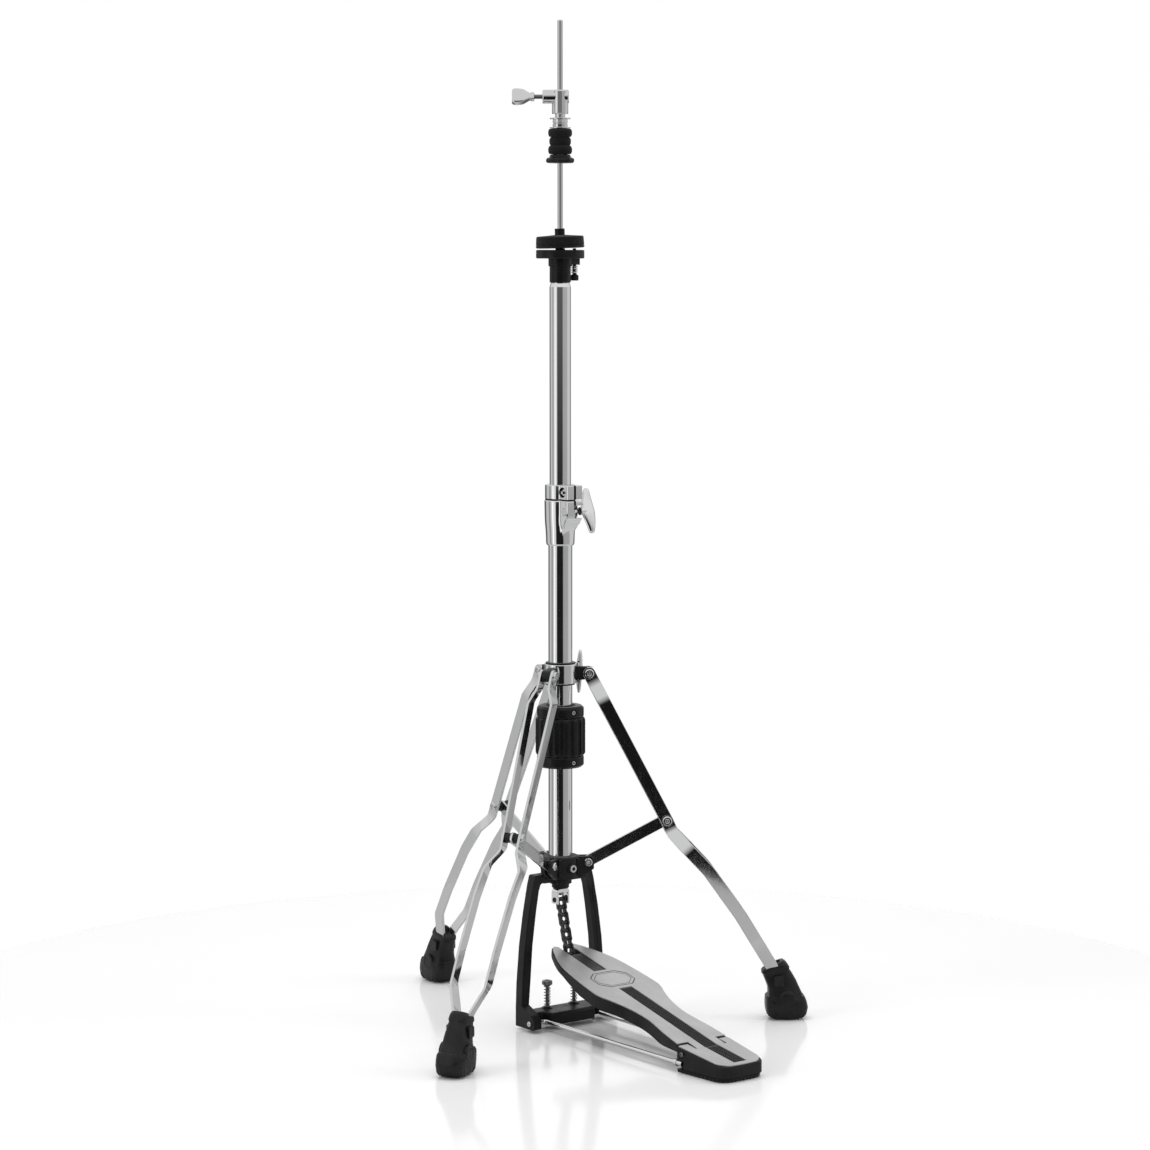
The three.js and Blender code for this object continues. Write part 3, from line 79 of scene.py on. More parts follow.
MM = 0.001
tube_low, tube_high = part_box("lower_tube")
AXIS = Vector(((tube_low.x + tube_high.x) / 2, (tube_low.y + tube_high.y) / 2, 0))
TO_FRAME = Matrix.Translation(AXIS) @ Matrix.Scale(MM, 4)
FROM_FRAME = TO_FRAME.inverted()


def span(node):
    """Lowest and highest corner of a CAD node, in the stand's own millimetres."""
    low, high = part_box(node)
    return FROM_FRAME @ low, FROM_FRAME @ high


def pivot(joint):
    """Where a hinge turns, in the stand's own millimetres."""
    found = next(j for j in frame["joints"] if j["name"] == joint)
    return FROM_FRAME @ Vector(found["pos_m"])


# ---- Sizes ----

GAP = 0.3
LEGS = ("back", "left", "right")
LEG_PIVOT = pivot("left_leg_fold")
COLLAR_HEIGHT = LEG_PIVOT.z
COLLAR_REACH = LEG_PIVOT.xy.length
HUB_PIVOT = pivot("left_brace_fold")
HUB_HEIGHT = HUB_PIVOT.z
HUB_REACH = HUB_PIVOT.xy.length
MID_REACH = 127.3
MID_HEIGHT = 245.1
FOOT_REACH = 275
LOWER_RADIUS = (span("lower_tube")[1].x - span("lower_tube")[0].x) / 2
UPPER_RADIUS = (span("upper_tube")[1].x - span("upper_tube")[0].x) / 2
TUBE_WALL = 1.3
ROD_RADIUS = 3.175
STRAP_WIDTH = 15
STRAP_THICKNESS = 3
BOLT_RADIUS = 2.6
LOCK_RADIUS = 18.2
SPUR_REACH = 20
FLOOR_ROD = Vector((61, -23, 10.5))  # where a floor rod leaves its upright
HEEL_PIN = pivot("footboard_press")
YOKE_PIN = pivot("chain_swing")
SEAT_BASE = pivot("seat_tilt").z
SEAT_TILT = radians(2)
CLUTCH_HEIGHT = pivot("clutch_screw_turn").z
CLUTCH_TURN = radians(143)


# ---- Mesh helpers ----
#
# loft, lathe, prism and tube draw in millimetres, and piece, finish and cut_by take what is
# drawn.

drawn = bmesh.new()
BEVEL_ANGLE = radians(28)
SHARP_ANGLE = radians(38)


def fillet(points, radius, steps=4, closed=False):
    """A polyline with its corners rounded. A point's third number is its own radius."""
    made = []
    count = len(points)
    for i, point in enumerate(points):
        corner = Vector(point[:2])
        size = point[2] if len(point) > 2 else radius
        if size <= 0 or (not closed and i in (0, count - 1)):
            made.append(tuple(corner))
            continue
        back = Vector(points[i - 1][:2]) - corner
        ahead = Vector(points[(i + 1) % count][:2]) - corner
        room = 0.49 * min(back.length, ahead.length)
        back.normalize()
        ahead.normalize()
        half = acos(max(-1, min(1, back.dot(ahead)))) / 2
        if half > radians(89) or half < radians(1):
            made.append(tuple(corner))
            continue
        reach = min(size / tan(half), room)
        size = reach * tan(half)
        centre = corner + (back + ahead).normalized() * (size / sin(half))
        first = corner + back * reach - centre
        last = corner + ahead * reach - centre
        start = atan2(first.y, first.x)
        turn = (atan2(last.y, last.x) - start + pi) % (2 * pi) - pi
        for step in range(steps + 1):
            angle = start + turn * step / steps
            made.append((centre.x + size * cos(angle), centre.y + size * sin(angle)))
    return made


def loop(points, radius, steps=4):
    """A closed outline with its corners rounded."""
    return fillet(points, radius, steps, closed=True)


def resampled(points, pitch):
    """A 2D polyline with extra points, so that none lie further apart than pitch."""
    made = [tuple(points[0])]
    for a, b in zip(points, points[1:]):
        a, b = Vector(a), Vector(b)
        steps = max(1, ceil((b - a).length / pitch))
        made += [tuple(a.lerp(b, k / steps)) for k in range(1, steps + 1)]
    return made


def spline(points, steps):
    """A smooth curve through 2D points."""
    made = []
    count = len(points)
    for i in range(count - 1):
        p = [Vector(points[max(0, min(count - 1, i + k))]) for k in (-1, 0, 1, 2)]
        for step in range(steps):
            t = step / steps
            square = (2 * p[0] - 5 * p[1] + 4 * p[2] - p[3]) * t * t
            cubic = (3 * p[1] - p[0] - 3 * p[2] + p[3]) * t ** 3
            made.append(tuple(0.5 * (2 * p[1] + (p[2] - p[0]) * t + square + cubic)))
    made.append(tuple(points[-1]))
    return made


def loft(rings, cap=True, wrap=False, matrix=None):
    """Skin over rings of equally many points. wrap joins the last ring to the first."""
    made = []
    for ring in rings:
        points = [Vector(p) for p in ring]
        if matrix:
            points = [matrix @ p for p in points]
        made.append([drawn.verts.new(p) for p in points])
    pairs = list(zip(made, made[1:])) + ([(made[-1], made[0])] if wrap else [])
    for a, b in pairs:
        count = len(a)
        for k in range(count):
            drawn.faces.new((a[k], a[(k + 1) % count], b[(k + 1) % count], b[k]))
    if cap and not wrap:
        drawn.faces.new(made[0][::-1])
        drawn.faces.new(made[-1])


def lathe(profile, sides=64, matrix=None):
    """A profile of (radius, height) turned about Z; it closes on itself or on the axis."""
    rings = []
    for radius, height in profile:
        count = 1 if radius < 1e-6 else sides
        ring = []
        for k in range(count):
            angle = 2 * pi * k / sides
            point = Vector((radius * cos(angle), radius * sin(angle), height))
            ring.append(drawn.verts.new(matrix @ point if matrix else point))
        rings.append(ring)
    pairs = list(zip(rings, rings[1:]))
    if len(rings[0]) > 1 or len(rings[-1]) > 1:
        pairs.append((rings[-1], rings[0]))
    for a, b in pairs:
        for k in range(sides):
            corners = []
            for ring, turn in ((a, k), (a, k + 1), (b, k + 1), (b, k)):
                vert = ring[turn % len(ring)]
                if vert not in corners:
                    corners.append(vert)
            if len(corners) > 2:
                drawn.faces.new(corners)


def prism(axis, outline, low, high, matrix=None):
    """An outline pushed along an axis. It is in (x, y) for z, (y, z) for x, (x, z) for y."""
    def at(a, b, depth):
        return {"z": (a, b, depth), "x": (depth, a, b), "y": (a, depth, b)}[axis]
    loft([[at(a, b, depth) for a, b in outline] for depth in (low, high)], matrix=matrix)


def tube(path, radius, sides, matrix=None):
    """A round wire along a path of 3D points."""
    points = [Vector(p) for p in path]
    rings = []
    across = None
    for i, point in enumerate(points):
        along = (points[min(i + 1, len(points) - 1)] - points[max(i - 1, 0)]).normalized()
        if across is None:
            across = along.orthogonal().normalized()
        across = (across - along * across.dot(along)).normalized()
        other = along.cross(across)
        rings.append([point + radius * (cos(a) * across + sin(a) * other)
            for a in (2 * pi * k / sides for k in range(sides))])
    loft(rings, matrix=matrix)


def circle(radius, z, count, swell=None):
    """A ring of points about Z; swell gives a factor for the radius at each angle."""
    angles = [2 * pi * k / count for k in range(count)]
    return [(radius * (swell(a) if swell else 1) * cos(a),
        radius * (swell(a) if swell else 1) * sin(a), z) for a in angles]


def helix(radius, low, high, turns, steps):
    total = int(turns * steps)
    return [(radius * cos(2 * pi * k / steps), radius * sin(2 * pi * k / steps),
        low + (high - low) * k / total) for k in range(total + 1)]


def rounded_box(width, depth, corner, steps=3):
    """Outline of a rectangle centred on the origin, with rounded corners."""
    a, b = width / 2, depth / 2
    return loop([(a, b), (-a, b), (-a, -b), (a, -b)], corner, steps)


def rect(x0, x1, y0, y1):
    return [(x0, y0), (x1, y0), (x1, y1), (x0, y1)]


def disc(radius, low, high, ease, steps, sides, matrix):
    """A round slug with eased rims, from low to high along its matrix's Z."""
    lathe(fillet([(0, low, 0), (radius, low), (radius, high), (0, high, 0)], ease, steps),
        sides, matrix)


def facing(point, direction):
    """Matrix that stands +Z on a point, along a direction."""
    turn = Vector(direction).to_track_quat("Z", "Y").to_matrix().to_4x4()
    return Matrix.Translation(Vector(point)) @ turn


def shift(x, y, z):
    return Matrix.Translation((x, y, z))


def around(angle):
    return Matrix.Rotation(angle, 4, "Z")


ALONG_X = Matrix.Rotation(pi / 2, 4, "Y")


def linked(made):
    bpy.context.scene.collection.objects.link(made)
    return made


def taken(name, matrix):
    """A mesh of all that was drawn since the last one, with its faces turned outwards."""
    global drawn
    bmesh.ops.recalc_face_normals(drawn, faces=drawn.faces)
    mesh = bpy.data.meshes.new(name)
    drawn.to_mesh(mesh)
    drawn.free()
    drawn = bmesh.new()
    mesh.transform(matrix)
    return mesh


def piece(name, body, look, bevel=0, steps=2, matrix=None, subdivide=0):
    """A finished piece of what is drawn. A look is a slot and a material; the piece takes only the
    material.
    """
    mesh = taken(name, TO_FRAME @ matrix if matrix else TO_FRAME)
    mesh.shade_smooth()
    mesh.materials.append(look[1])
    made = linked(bpy.data.objects.new(name, mesh))
    if bevel:
        edges = made.modifiers.new("edges", "BEVEL")
        edges.width = bevel * MM
        edges.segments = steps
        edges.limit_method = "ANGLE"
        edges.angle_limit = BEVEL_ANGLE
        edges.use_clamp_overlap = True
        made.modifiers.new("normals", "WEIGHTED_NORMAL")
    elif subdivide:
        made.modifiers.new("surface", "SUBSURF").levels = subdivide
        made.modifiers["surface"].render_levels = subdivide
    else:
        mesh.set_sharp_from_angle(angle=SHARP_ANGLE)
        made.modifiers.new("normals", "WEIGHTED_NORMAL").keep_sharp = True
    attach(made, body)
    return made


def finish(node, look, name=None, **how):
    """The piece that stands for a CAD node, on the node's own body."""
    body = body_of(frame["nodes"][node])[0]
    made = piece(name or node + "_finish", body, look, **how)
    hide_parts(node)
    return made


def refined(node, look, bevel, steps):
    """The shape of a CAD node with its edges eased."""
    drawn.from_mesh(frame["nodes"][node].data)
    bmesh.ops.transform(drawn, matrix=FROM_FRAME, verts=drawn.verts)
    bmesh.ops.remove_doubles(drawn, verts=drawn.verts, dist=1e-3)
    bmesh.ops.dissolve_limit(
        drawn, angle_limit=radians(0.6), verts=drawn.verts, edges=drawn.edges)
    finish(node, look, bevel=bevel, steps=steps)


# ---- Materials ----


class Graph:
    """A node tree, with the few kinds of node that the looks and the studio are made of."""

    def __init__(self, owner):
        owner.use_nodes = True
        self.nodes = owner.node_tree.nodes
        self.links = owner.node_tree.links

    def add(self, kind, *sources, **settings):
        """A node with its first inputs fed by numbers, colours or other nodes' outputs."""
        made = self.nodes.new("ShaderNode" + kind)
        for name, value in settings.items():
            setattr(made, name, value)
        for socket, source in zip(made.inputs, sources):
            self.plug(socket, source)
        return made

    def plug(self, socket, source):
        if isinstance(source, (int, float, tuple)):
            socket.default_value = source
        else:
            self.links.new(source, socket)

    def ramp(self, source, stops):
        made = self.add("ValToRGB", source)
        ramp = made.color_ramp
        while len(ramp.elements) < len(stops):
            ramp.elements.new(0.5)
        for element, (at, value) in zip(ramp.elements, stops):
            element.position = at
            element.color = (*value, 1) if isinstance(value, tuple) else (value, value, value, 1)
        return made.outputs["Color"]

    def mixed(self, a, b, share, how="MIX"):
        made = self.add("Mix", data_type="RGBA", blend_type=how)
        for socket, source in ((6, a), (7, b)):
            grey = isinstance(source, (int, float))
            self.plug(made.inputs[socket], (source, source, source, 1) if grey else source)
        self.plug(made.inputs[0], share)
        return made.outputs[2]


class Look(Graph):
    """A procedural material: a Principled shader fed by noise in object space."""

    def __init__(self, name, **uniform):
        self.material = bpy.data.materials.new(name)
        super().__init__(self.material)
        self.shader = self.nodes["Principled BSDF"]
        for socket, value in uniform.items():
            self.shader.inputs[socket.replace("_", " ")].default_value = value
        self.place = self.add("TexCoord").outputs["Object"]

    def stretched(self, scale):
        mapping = self.add("Mapping", self.place)
        mapping.inputs["Scale"].default_value = scale
        return mapping.outputs["Vector"]

    def noise(self, scale, detail=3, roughness=0.5, vector=None):
        made = self.add("TexNoise", vector or self.place)
        for socket, value in (("Scale", scale), ("Detail", detail), ("Roughness", roughness)):
            made.inputs[socket].default_value = value
        return made.outputs["Fac"]

    def feed(self, socket, source):
        self.links.new(source, self.shader.inputs[socket])

    def bump(self, source, depth, strength, under=None):
        made = self.add("Bump", strength, depth)
        self.links.new(source, made.inputs["Height"])
        if under:
            self.links.new(under, made.inputs["Normal"])
        self.links.new(made.outputs["Normal"], self.shader.inputs["Normal"])
        return made.outputs["Normal"]

    def edge_wear(self, low, high):
        """Brighter where the surface turns sharply, as on handled edges."""
        return self.ramp(self.add("NewGeometry").outputs["Pointiness"], [(low, 0), (high, 1)])


def chrome(name, tone=0.86, dull=0.05):
    """Bright plating: polish swirls, faint smudges and hairline scratches."""
    look = Look(name, Metallic=1.0)
    cloud = look.noise(28, 4, 0.6)
    look.feed("Base Color", look.ramp(cloud, [(0.3, (tone * 0.965, tone * 0.972, tone * 0.98)),
        (0.7, (tone, tone, tone * 0.998))]))
    smudge = look.noise(55, 5, 0.65)
    hair = look.noise(1, 2, 0.5, look.stretched((900, 900, 22)))
    rough = look.ramp(smudge, [(0.4, dull), (0.62, dull + 0.03), (0.75, dull + 0.1)])
    look.feed("Roughness", look.mixed(rough, look.ramp(hair, [(0.62, 0), (0.7, 0.08)]), 0.5,
        "ADD"))
    look.bump(look.noise(160, 3, 0.5), 0.00001, 0.4)
    return look.material


def brushed():
    """Sheet with a fine grain along the board, clear coated."""
    look = Look("brushed_sheet", Metallic=0.85, Coat_Weight=0.15, Coat_Roughness=0.3)
    grain = look.noise(1, 4, 0.7, look.stretched((2600, 60, 60)))
    cloud = look.noise(18, 4, 0.55)
    tone = look.ramp(grain, [(0.3, 0.5), (0.7, 0.66)])
    look.feed("Base Color", look.mixed(tone, look.ramp(cloud, [(0.3, 0.82), (0.7, 1.0)]), 1.0,
        "MULTIPLY"))
    look.feed("Roughness", look.ramp(grain, [(0.3, 0.34), (0.7, 0.5)]))
    look.bump(grain, 0.00003, 0.5)
    return look.material


def black_coat(name, dark=0.005, light=0.012, rough=0.36):
    """Powder coat on a casting: fine orange peel, rubbed lighter on its edges."""
    look = Look(name, Specular_IOR_Level=0.22)
    cloud = look.noise(40, 4, 0.6)
    base = look.ramp(cloud, [(0.3, dark), (0.7, light)])
    worn = look.mixed(base, 0.04, look.edge_wear(0.54, 0.7))
    look.feed("Base Color", worn)
    look.feed("Roughness", look.ramp(look.noise(70, 4, 0.6),
        [(0.3, rough - 0.05), (0.7, rough + 0.12)]))
    peel = look.bump(look.noise(1400, 2, 0.5), 0.00004, 0.35)
    look.bump(look.noise(420, 3, 0.6), 0.00003, 0.25, peel)
    return look.material


def rubber():
    """Moulded rubber: slight bloom, mould texture and scuffs."""
    look = Look("moulded_rubber", Specular_IOR_Level=0.34)
    bloom = look.noise(60, 5, 0.65)
    look.feed("Base Color", look.mixed(look.ramp(bloom, [(0.35, 0.002), (0.7, 0.008)]), 0.025,
        look.edge_wear(0.56, 0.75)))
    look.feed("Roughness", look.ramp(look.noise(90, 4, 0.6), [(0.3, 0.24), (0.7, 0.38)]))
    look.bump(look.noise(900, 3, 0.6), 0.00005, 0.3)
    return look.material


def felt():
    """Dense wool felt: matted fibres and soft fuzz."""
    look = Look("wool_felt", Sheen_Weight=0.06, Sheen_Roughness=0.6, Specular_IOR_Level=0.1)
    fibre = look.noise(1900, 5, 0.75)
    mat = look.noise(260, 4, 0.6)
    look.feed("Base Color", look.mixed(look.ramp(fibre, [(0.3, 0.004), (0.75, 0.022)]),
        look.ramp(mat, [(0.35, 0.6), (0.7, 1.0)]), 1.0, "MULTIPLY"))
    look.feed("Roughness", look.ramp(mat, [(0.3, 0.85), (0.7, 1.0)]))
    coarse = look.bump(mat, 0.0005, 0.5)
    look.bump(fibre, 0.00025, 0.7, coarse)
    return look.material


def dark_steel():
    """Oiled chain steel: worn bright on its plates."""
    look = Look("dark_steel", Metallic=0.9)
    stain = look.noise(700, 4, 0.6)
    look.feed("Base Color", look.mixed(look.ramp(stain, [(0.35, 0.03), (0.7, 0.09)]), 0.45,
        look.edge_wear(0.55, 0.72)))
    look.feed("Roughness", look.ramp(stain, [(0.3, 0.3), (0.7, 0.5)]))
    look.bump(look.noise(1600, 3, 0.5), 0.00003, 0.4)
    return look.material


CHROME = "chrome", chrome("chrome_plate", 0.82)
CHROME_STRAP = "chrome", chrome("chrome_strap", 0.7, 0.07)
CHROME_SMALL = "chrome", chrome("chrome_fasteners", 0.72, 0.1)
CHROME_ROD = "chrome", chrome("chrome_rod", 0.64, 0.1)
CHROME_CLUTCH = "chrome", chrome("chrome_clutch", 0.7, 0.08)
DARK_CHROME = "chrome", chrome("dark_fasteners", 0.22, 0.22)
BRUSHED = "brushed", brushed()
BLACK = "black_metal", black_coat("black_powder_coat")
BLACK_CAST = "black_casting", black_coat("black_casting", 0.006, 0.014, 0.42)
BLACK_GLOSS = "black_metal", black_coat("black_housing", 0.003, 0.009, 0.26)
RUBBER = "rubber", rubber()
FELT = "felt", felt()
DARK_STEEL = "spring_steel", dark_steel()
DARK_SPRING = "spring_steel", DARK_CHROME[1]
HUB_BLACK = "black_metal", BLACK_CAST[1]
BADGE_BLACK = "black_casting", BLACK[1]


# ---- Fasteners ----


def screw_head(radius, height, matrix, socket=0.45):
    """A domed head with an eased rim and a round socket with a pin in it."""
    hole = radius * socket
    lathe(fillet([(0, -0.6, 0), (radius, -0.6, 0.2), (radius, height * 0.55, 0.5),
        (radius * 0.82, height, 0.4), (hole, height, 0.25), (hole * 0.92, height * 0.3, 0.2),
        (hole * 0.45, height * 0.25, 0.15), (hole * 0.35, height * 0.75, 0.2),
        (0, height * 0.8, 0)], 0.3, 3), 40, matrix)


def hex_socket(radius, height, matrix):
    """A cap screw with a six-sided socket."""
    rim = circle(radius, 0, 36)
    corners = circle(radius * 0.5, 0, 6)
    mouth = []
    for k in range(36):
        (x, y, z), (next_x, next_y, _) = corners[k // 6], corners[(k // 6 + 1) % 6]
        share = (k % 6) / 6
        mouth.append((x + (next_x - x) * share, y + (next_y - y) * share, z))
    lines = ((rim, 1, -0.6), (rim, 1, height - 0.5), (rim, 0.93, height), (mouth, 1.04, height),
        (mouth, 1, height - 0.2), (mouth, 0.97, height - radius * 0.7))
    loft([[(x * grow, y * grow, z) for x, y, _ in line] for line, grow, z in lines],
        matrix=matrix)


# ---- Tubes and pull rod ----


def straight_tube(node, lip):
    """A tube whose mouth is drawn in over its last lip of length."""
    low, high = span(node)
    outer = (high.x - low.x) / 2
    inner = outer - TUBE_WALL
    top = high.z
    lathe(loop([(inner, low.z), (outer, low.z), (outer, top - lip),
        (outer - lip * 0.28, top - 0.4), (inner + 0.1, top), (inner, top - 2)], 1.2, 5), 96)
    finish(node, CHROME)


def pull_rod():
    low, high = span("pull_rod")
    flange = span("return_spring")[1].z + GAP
    r = ROD_RADIUS
    lathe(fillet([(0, low.z, 0), (r, low.z, 0.4), (r, flange, 0), (9.6, flange, 0.5),
        (9.6, flange + 3, 0.5), (r, flange + 3, 0), (r, high.z, 1.4), (0, high.z, 0)], 0.5, 5), 40)
    finish("pull_rod", CHROME_ROD)

    low, high = span("chain_yoke")
    half, wall = high.x, 2.2
    outline = loop([(-half, low.z, 3.5), (-half, high.z, 4), (half, high.z, 4), (half, low.z, 3.5),
        (half - wall, low.z, 0.4), (half - wall, high.z - 4.5, 1.5),
        (-half + wall, high.z - 4.5, 1.5), (-half + wall, low.z, 0.4)], 1, 5)
    prism("y", outline, low.y, high.y)
    finish("chain_yoke", CHROME, bevel=0.6, steps=3)
    for side in (-1, 1):
        screw_head(3.1, 1.1, facing((side * half, 0, YOKE_PIN.z), (side, 0, 0)))
    hex_nut(4.2, 3.6, shift(0, 0, high.z - 8.2))
    piece("yoke_pin_and_nut", "pull_rod", DARK_STEEL)


def hex_nut(radius, height, matrix):
    """A nut with chamfered corners, standing on its base."""
    loft([circle(r, z, 6) for r, z in ((radius * 0.9, 0), (radius, 0.5), (radius, height - 0.5),
        (radius * 0.9, height))], matrix=matrix)


# ---- Clamp, memory lock and wing bolts ----

RING_STEPS = 144
EAR_HALF = 11.5
SLIT_HALF = 1.5


def smooth_max(a, b, soft):
    share = max(0.0, min(1.0, 0.5 + 0.5 * (a - b) / soft))
    return b + (a - b) * share + soft * share * (1 - share)


def eared_ring(radius, reach, half, z):
    """Outline of a round body with a square nose that points along -Y."""
    def size(angle):
        turn = abs((angle + pi / 2 + pi) % (2 * pi) - pi)
        across = half / max(1e-6, abs(sin(turn)))
        nose = min(reach / max(1e-6, cos(turn)), across) if turn < pi / 2 else 0
        return smooth_max(radius, nose, 2.2)
    return circle(1, z, RING_STEPS, size)


def cut_by(made, name):
    """Takes the solid that is drawn out of a piece."""
    tool = linked(bpy.data.objects.new(name, taken(name, TO_FRAME)))
    boolean = made.modifiers.new("cut", "BOOLEAN")
    boolean.object = tool
    boolean.solver = "EXACT"
    while made.modifiers[0] != boolean:
        made.modifiers.move(made.modifiers.find(boolean.name), 0)
    bpy.context.view_layer.update()
    graph = bpy.context.evaluated_depsgraph_get()
    kept = [m for m in made.modifiers if m != boolean]
    for other in kept:
        other.show_viewport = False
    bpy.context.view_layer.update()
    result = bpy.data.meshes.new_from_object(made.evaluated_get(graph))
    made.modifiers.remove(boolean)
    made.data = result
    for other in kept:
        other.show_viewport = True
    bpy.data.objects.remove(tool)


def clamp():
    low, high = span("tube_clamp")
    bottom, top = low.z, high.z
    reach = -low.y
    stations = [(0.0, 15.6, 0), (0.02, 16.6, 0), (0.06, 17.0, 0), (0.22, 17.2, 0),
        (0.30, 17.4, 15), (0.40, 17.9, 19.5), (0.50, 18.3, 24), (0.58, 18.5, 27.2),
        (0.66, 18.6, reach - 0.6), (0.74, 18.7, reach), (0.97, 18.9, reach),
        (0.99, 18.6, reach - 0.4), (1.0, 17.9, reach - 1.2)]
    rings = []
    for share, radius, nose in stations:
        z = bottom + (top - bottom) * share
        rings.append(eared_ring(radius, nose, EAR_HALF if nose > 20 else EAR_HALF - 1.5, z))
    bore = LOWER_RADIUS + 0.1
    rings += [circle(bore, z, RING_STEPS) for z in (top, bottom)]
    loft(rings, cap=False, wrap=True)
    made = finish("tube_clamp", CHROME)
    bolt = pivot("clamp_wing_turn")

    prism("z", rect(-SLIT_HALF, SLIT_HALF, -reach - 3, -10), bolt.z + 2, top + 3)
    cut_by(made, "clamp_slit")

    outline = loop(rect(-reach - 3, bolt.y + 5.5, bolt.z - 7.5, bolt.z + 7.5), 3, 5)
    prism("x", outline, 0.4, EAR_HALF + 4)
    lathe(rect(0, 5.2, -2, 3), 6, facing((-EAR_HALF, bolt.y, bolt.z), (-1, 0, 0)))
    cut_by(made, "clamp_pockets")
    # A dark chrome plate against the pocket's back wall stands for the pocket's shade: painted
    # shade, not a real liner.
    pocket_shade_outline = rounded_box(10.8, 14.2, 2.4, 4)
    prism("y", [(x + 5.9, z + bolt.z) for x, z in pocket_shade_outline], bolt.y + 3.4, bolt.y + 5.7)
    piece("clamp_pocket_painted_shade", "base", DARK_CHROME)
    hex_nut(4.9, 2.6, facing((-EAR_HALF + 1.9, bolt.y, bolt.z), (-1, 0, 0)))
    piece("clamp_nut", "base", CHROME_SMALL)
    lathe(loop(rect(LOWER_RADIUS - 1, LOCK_RADIUS, top + 0.1, top + 1.2), 0.3, 2), 72)
    piece("clamp_bushing_lip", "base", RUBBER)


def memory_lock():
    low, high = span("memory_lock")
    bottom, top = low.z, high.z
    reach = -low.y
    rings = []
    for z, inset in ((bottom, 0.7), (bottom + 0.25, 0.2), (bottom + 0.8, 0), (top - 0.9, 0),
            (top - 0.3, 0.3), (top, 1.0)):
        rings.append(eared_ring(LOCK_RADIUS - inset, reach - inset, EAR_HALF - inset, z))
    rings += [circle(UPPER_RADIUS, z, RING_STEPS) for z in (top, bottom)]
    loft(rings, cap=False, wrap=True)
    made = finish("memory_lock", CHROME)
    middle = (bottom + top) / 2
    screw = (-EAR_HALF, -19.5, middle)

    prism("z", rect(-SLIT_HALF, SLIT_HALF, -reach - 3, -10), bottom - 3, top + 3)
    lathe([(0, -4.6), (6.0, -4.6), (6.2, 3), (0, 3)], 40, facing(screw, (-1, 0, 0)))
    cut_by(made, "lock_cuts")
    head = facing((screw[0] + 3.6, screw[1], screw[2]), (-1, 0, 0))
    disc(4.1, -0.5, 1.6, 0.5, 4, 40, head)
    prism("z", rounded_box(3.3, 3.3, 0.3), 1.4, 4.4, head)
    piece("lock_drum_key_screw", "upper_tube", CHROME_SMALL)
    lathe(loop([(4.2, -0.9), (6.0, -0.9), (6.05, 3.2), (5.6, 3.2), (5.4, 0.2), (4.2, 0.2)],
        0.2, 2), 40, head)
    piece("lock_recess_shadow_ring", "upper_tube", BLACK)


def wing(scale_z, near, depth, thick, sweep, hub, matrix):
    """An S-shaped wing of two lobes with a rounded ridge, and the hub that carries it."""
    stations = [(-1.00, 0.56, 0.08, 0.30), (-0.965, 0.56, 0.16, 0.55), (-0.88, 0.56, 0.22, 0.78),
        (-0.70, 0.55, 0.28, 0.92), (-0.45, 0.53, 0.38, 1.0), (-0.2, 0.5, 0.47, 1.15),
        (0.0, 0.5, 0.5, 1.3), (0.2, 0.51, 0.47, 1.15), (0.45, 0.55, 0.38, 1.0),
        (0.70, 0.58, 0.29, 0.92), (0.88, 0.6, 0.22, 0.78), (0.965, 0.6, 0.16, 0.55),
        (1.00, 0.6, 0.08, 0.30)]
    rings = []
    for z, centre, half, thickness in stations:
        lean = sweep * sin(z * pi / 2)
        ring = []
        for k in range(28):
            a = 2 * pi * k / 28
            c, s = cos(a), sin(a)
            ring.append((near + depth * (centre + half * copysign(abs(c) ** 0.85, c)),
                lean + thick / 2 * thickness * copysign(abs(s) ** 1.25, s), z * scale_z))
        rings.append(ring)
    loft(rings, matrix=matrix)
    barrel = fillet([(0, 0.3, 0), (hub, 0.3), (hub * 0.86, near * 0.5),
        (hub * 0.8, near + depth * 0.35), (0, near + depth * 0.35, 0)], 0.5)
    lathe(barrel, 40, matrix @ ALONG_X)


def wing_bolts():
    bolt = pivot("clamp_wing_turn")
    at = shift(EAR_HALF, bolt.y, bolt.z)
    wing(26.5, 2.6, 19.5, 8, 6.4, 5.2, at)
    tube([(GAP, 0, 0), (-23, 0, 0)], BOLT_RADIUS, 20, at)
    finish("clamp_wing_bolt", CHROME, subdivide=1, name="clamp_wing_finish")

    turned = pivot("collar_wing_turn")
    angle = atan2(turned.y, turned.x)
    out = around(angle) @ shift(turned.xy.length, -7, turned.z) @ around(-pi / 2)
    wing(26, 0.8, 9.4, 6, 1.6, 4.6, out)
    tube([(GAP, 0, 0), (-14, 0, 0)], BOLT_RADIUS, 20, out)
    finish("collar_wing_bolt", CHROME, subdivide=1, name="collar_wing_finish")


# ---- Tension housing ----

FLUTES = 16


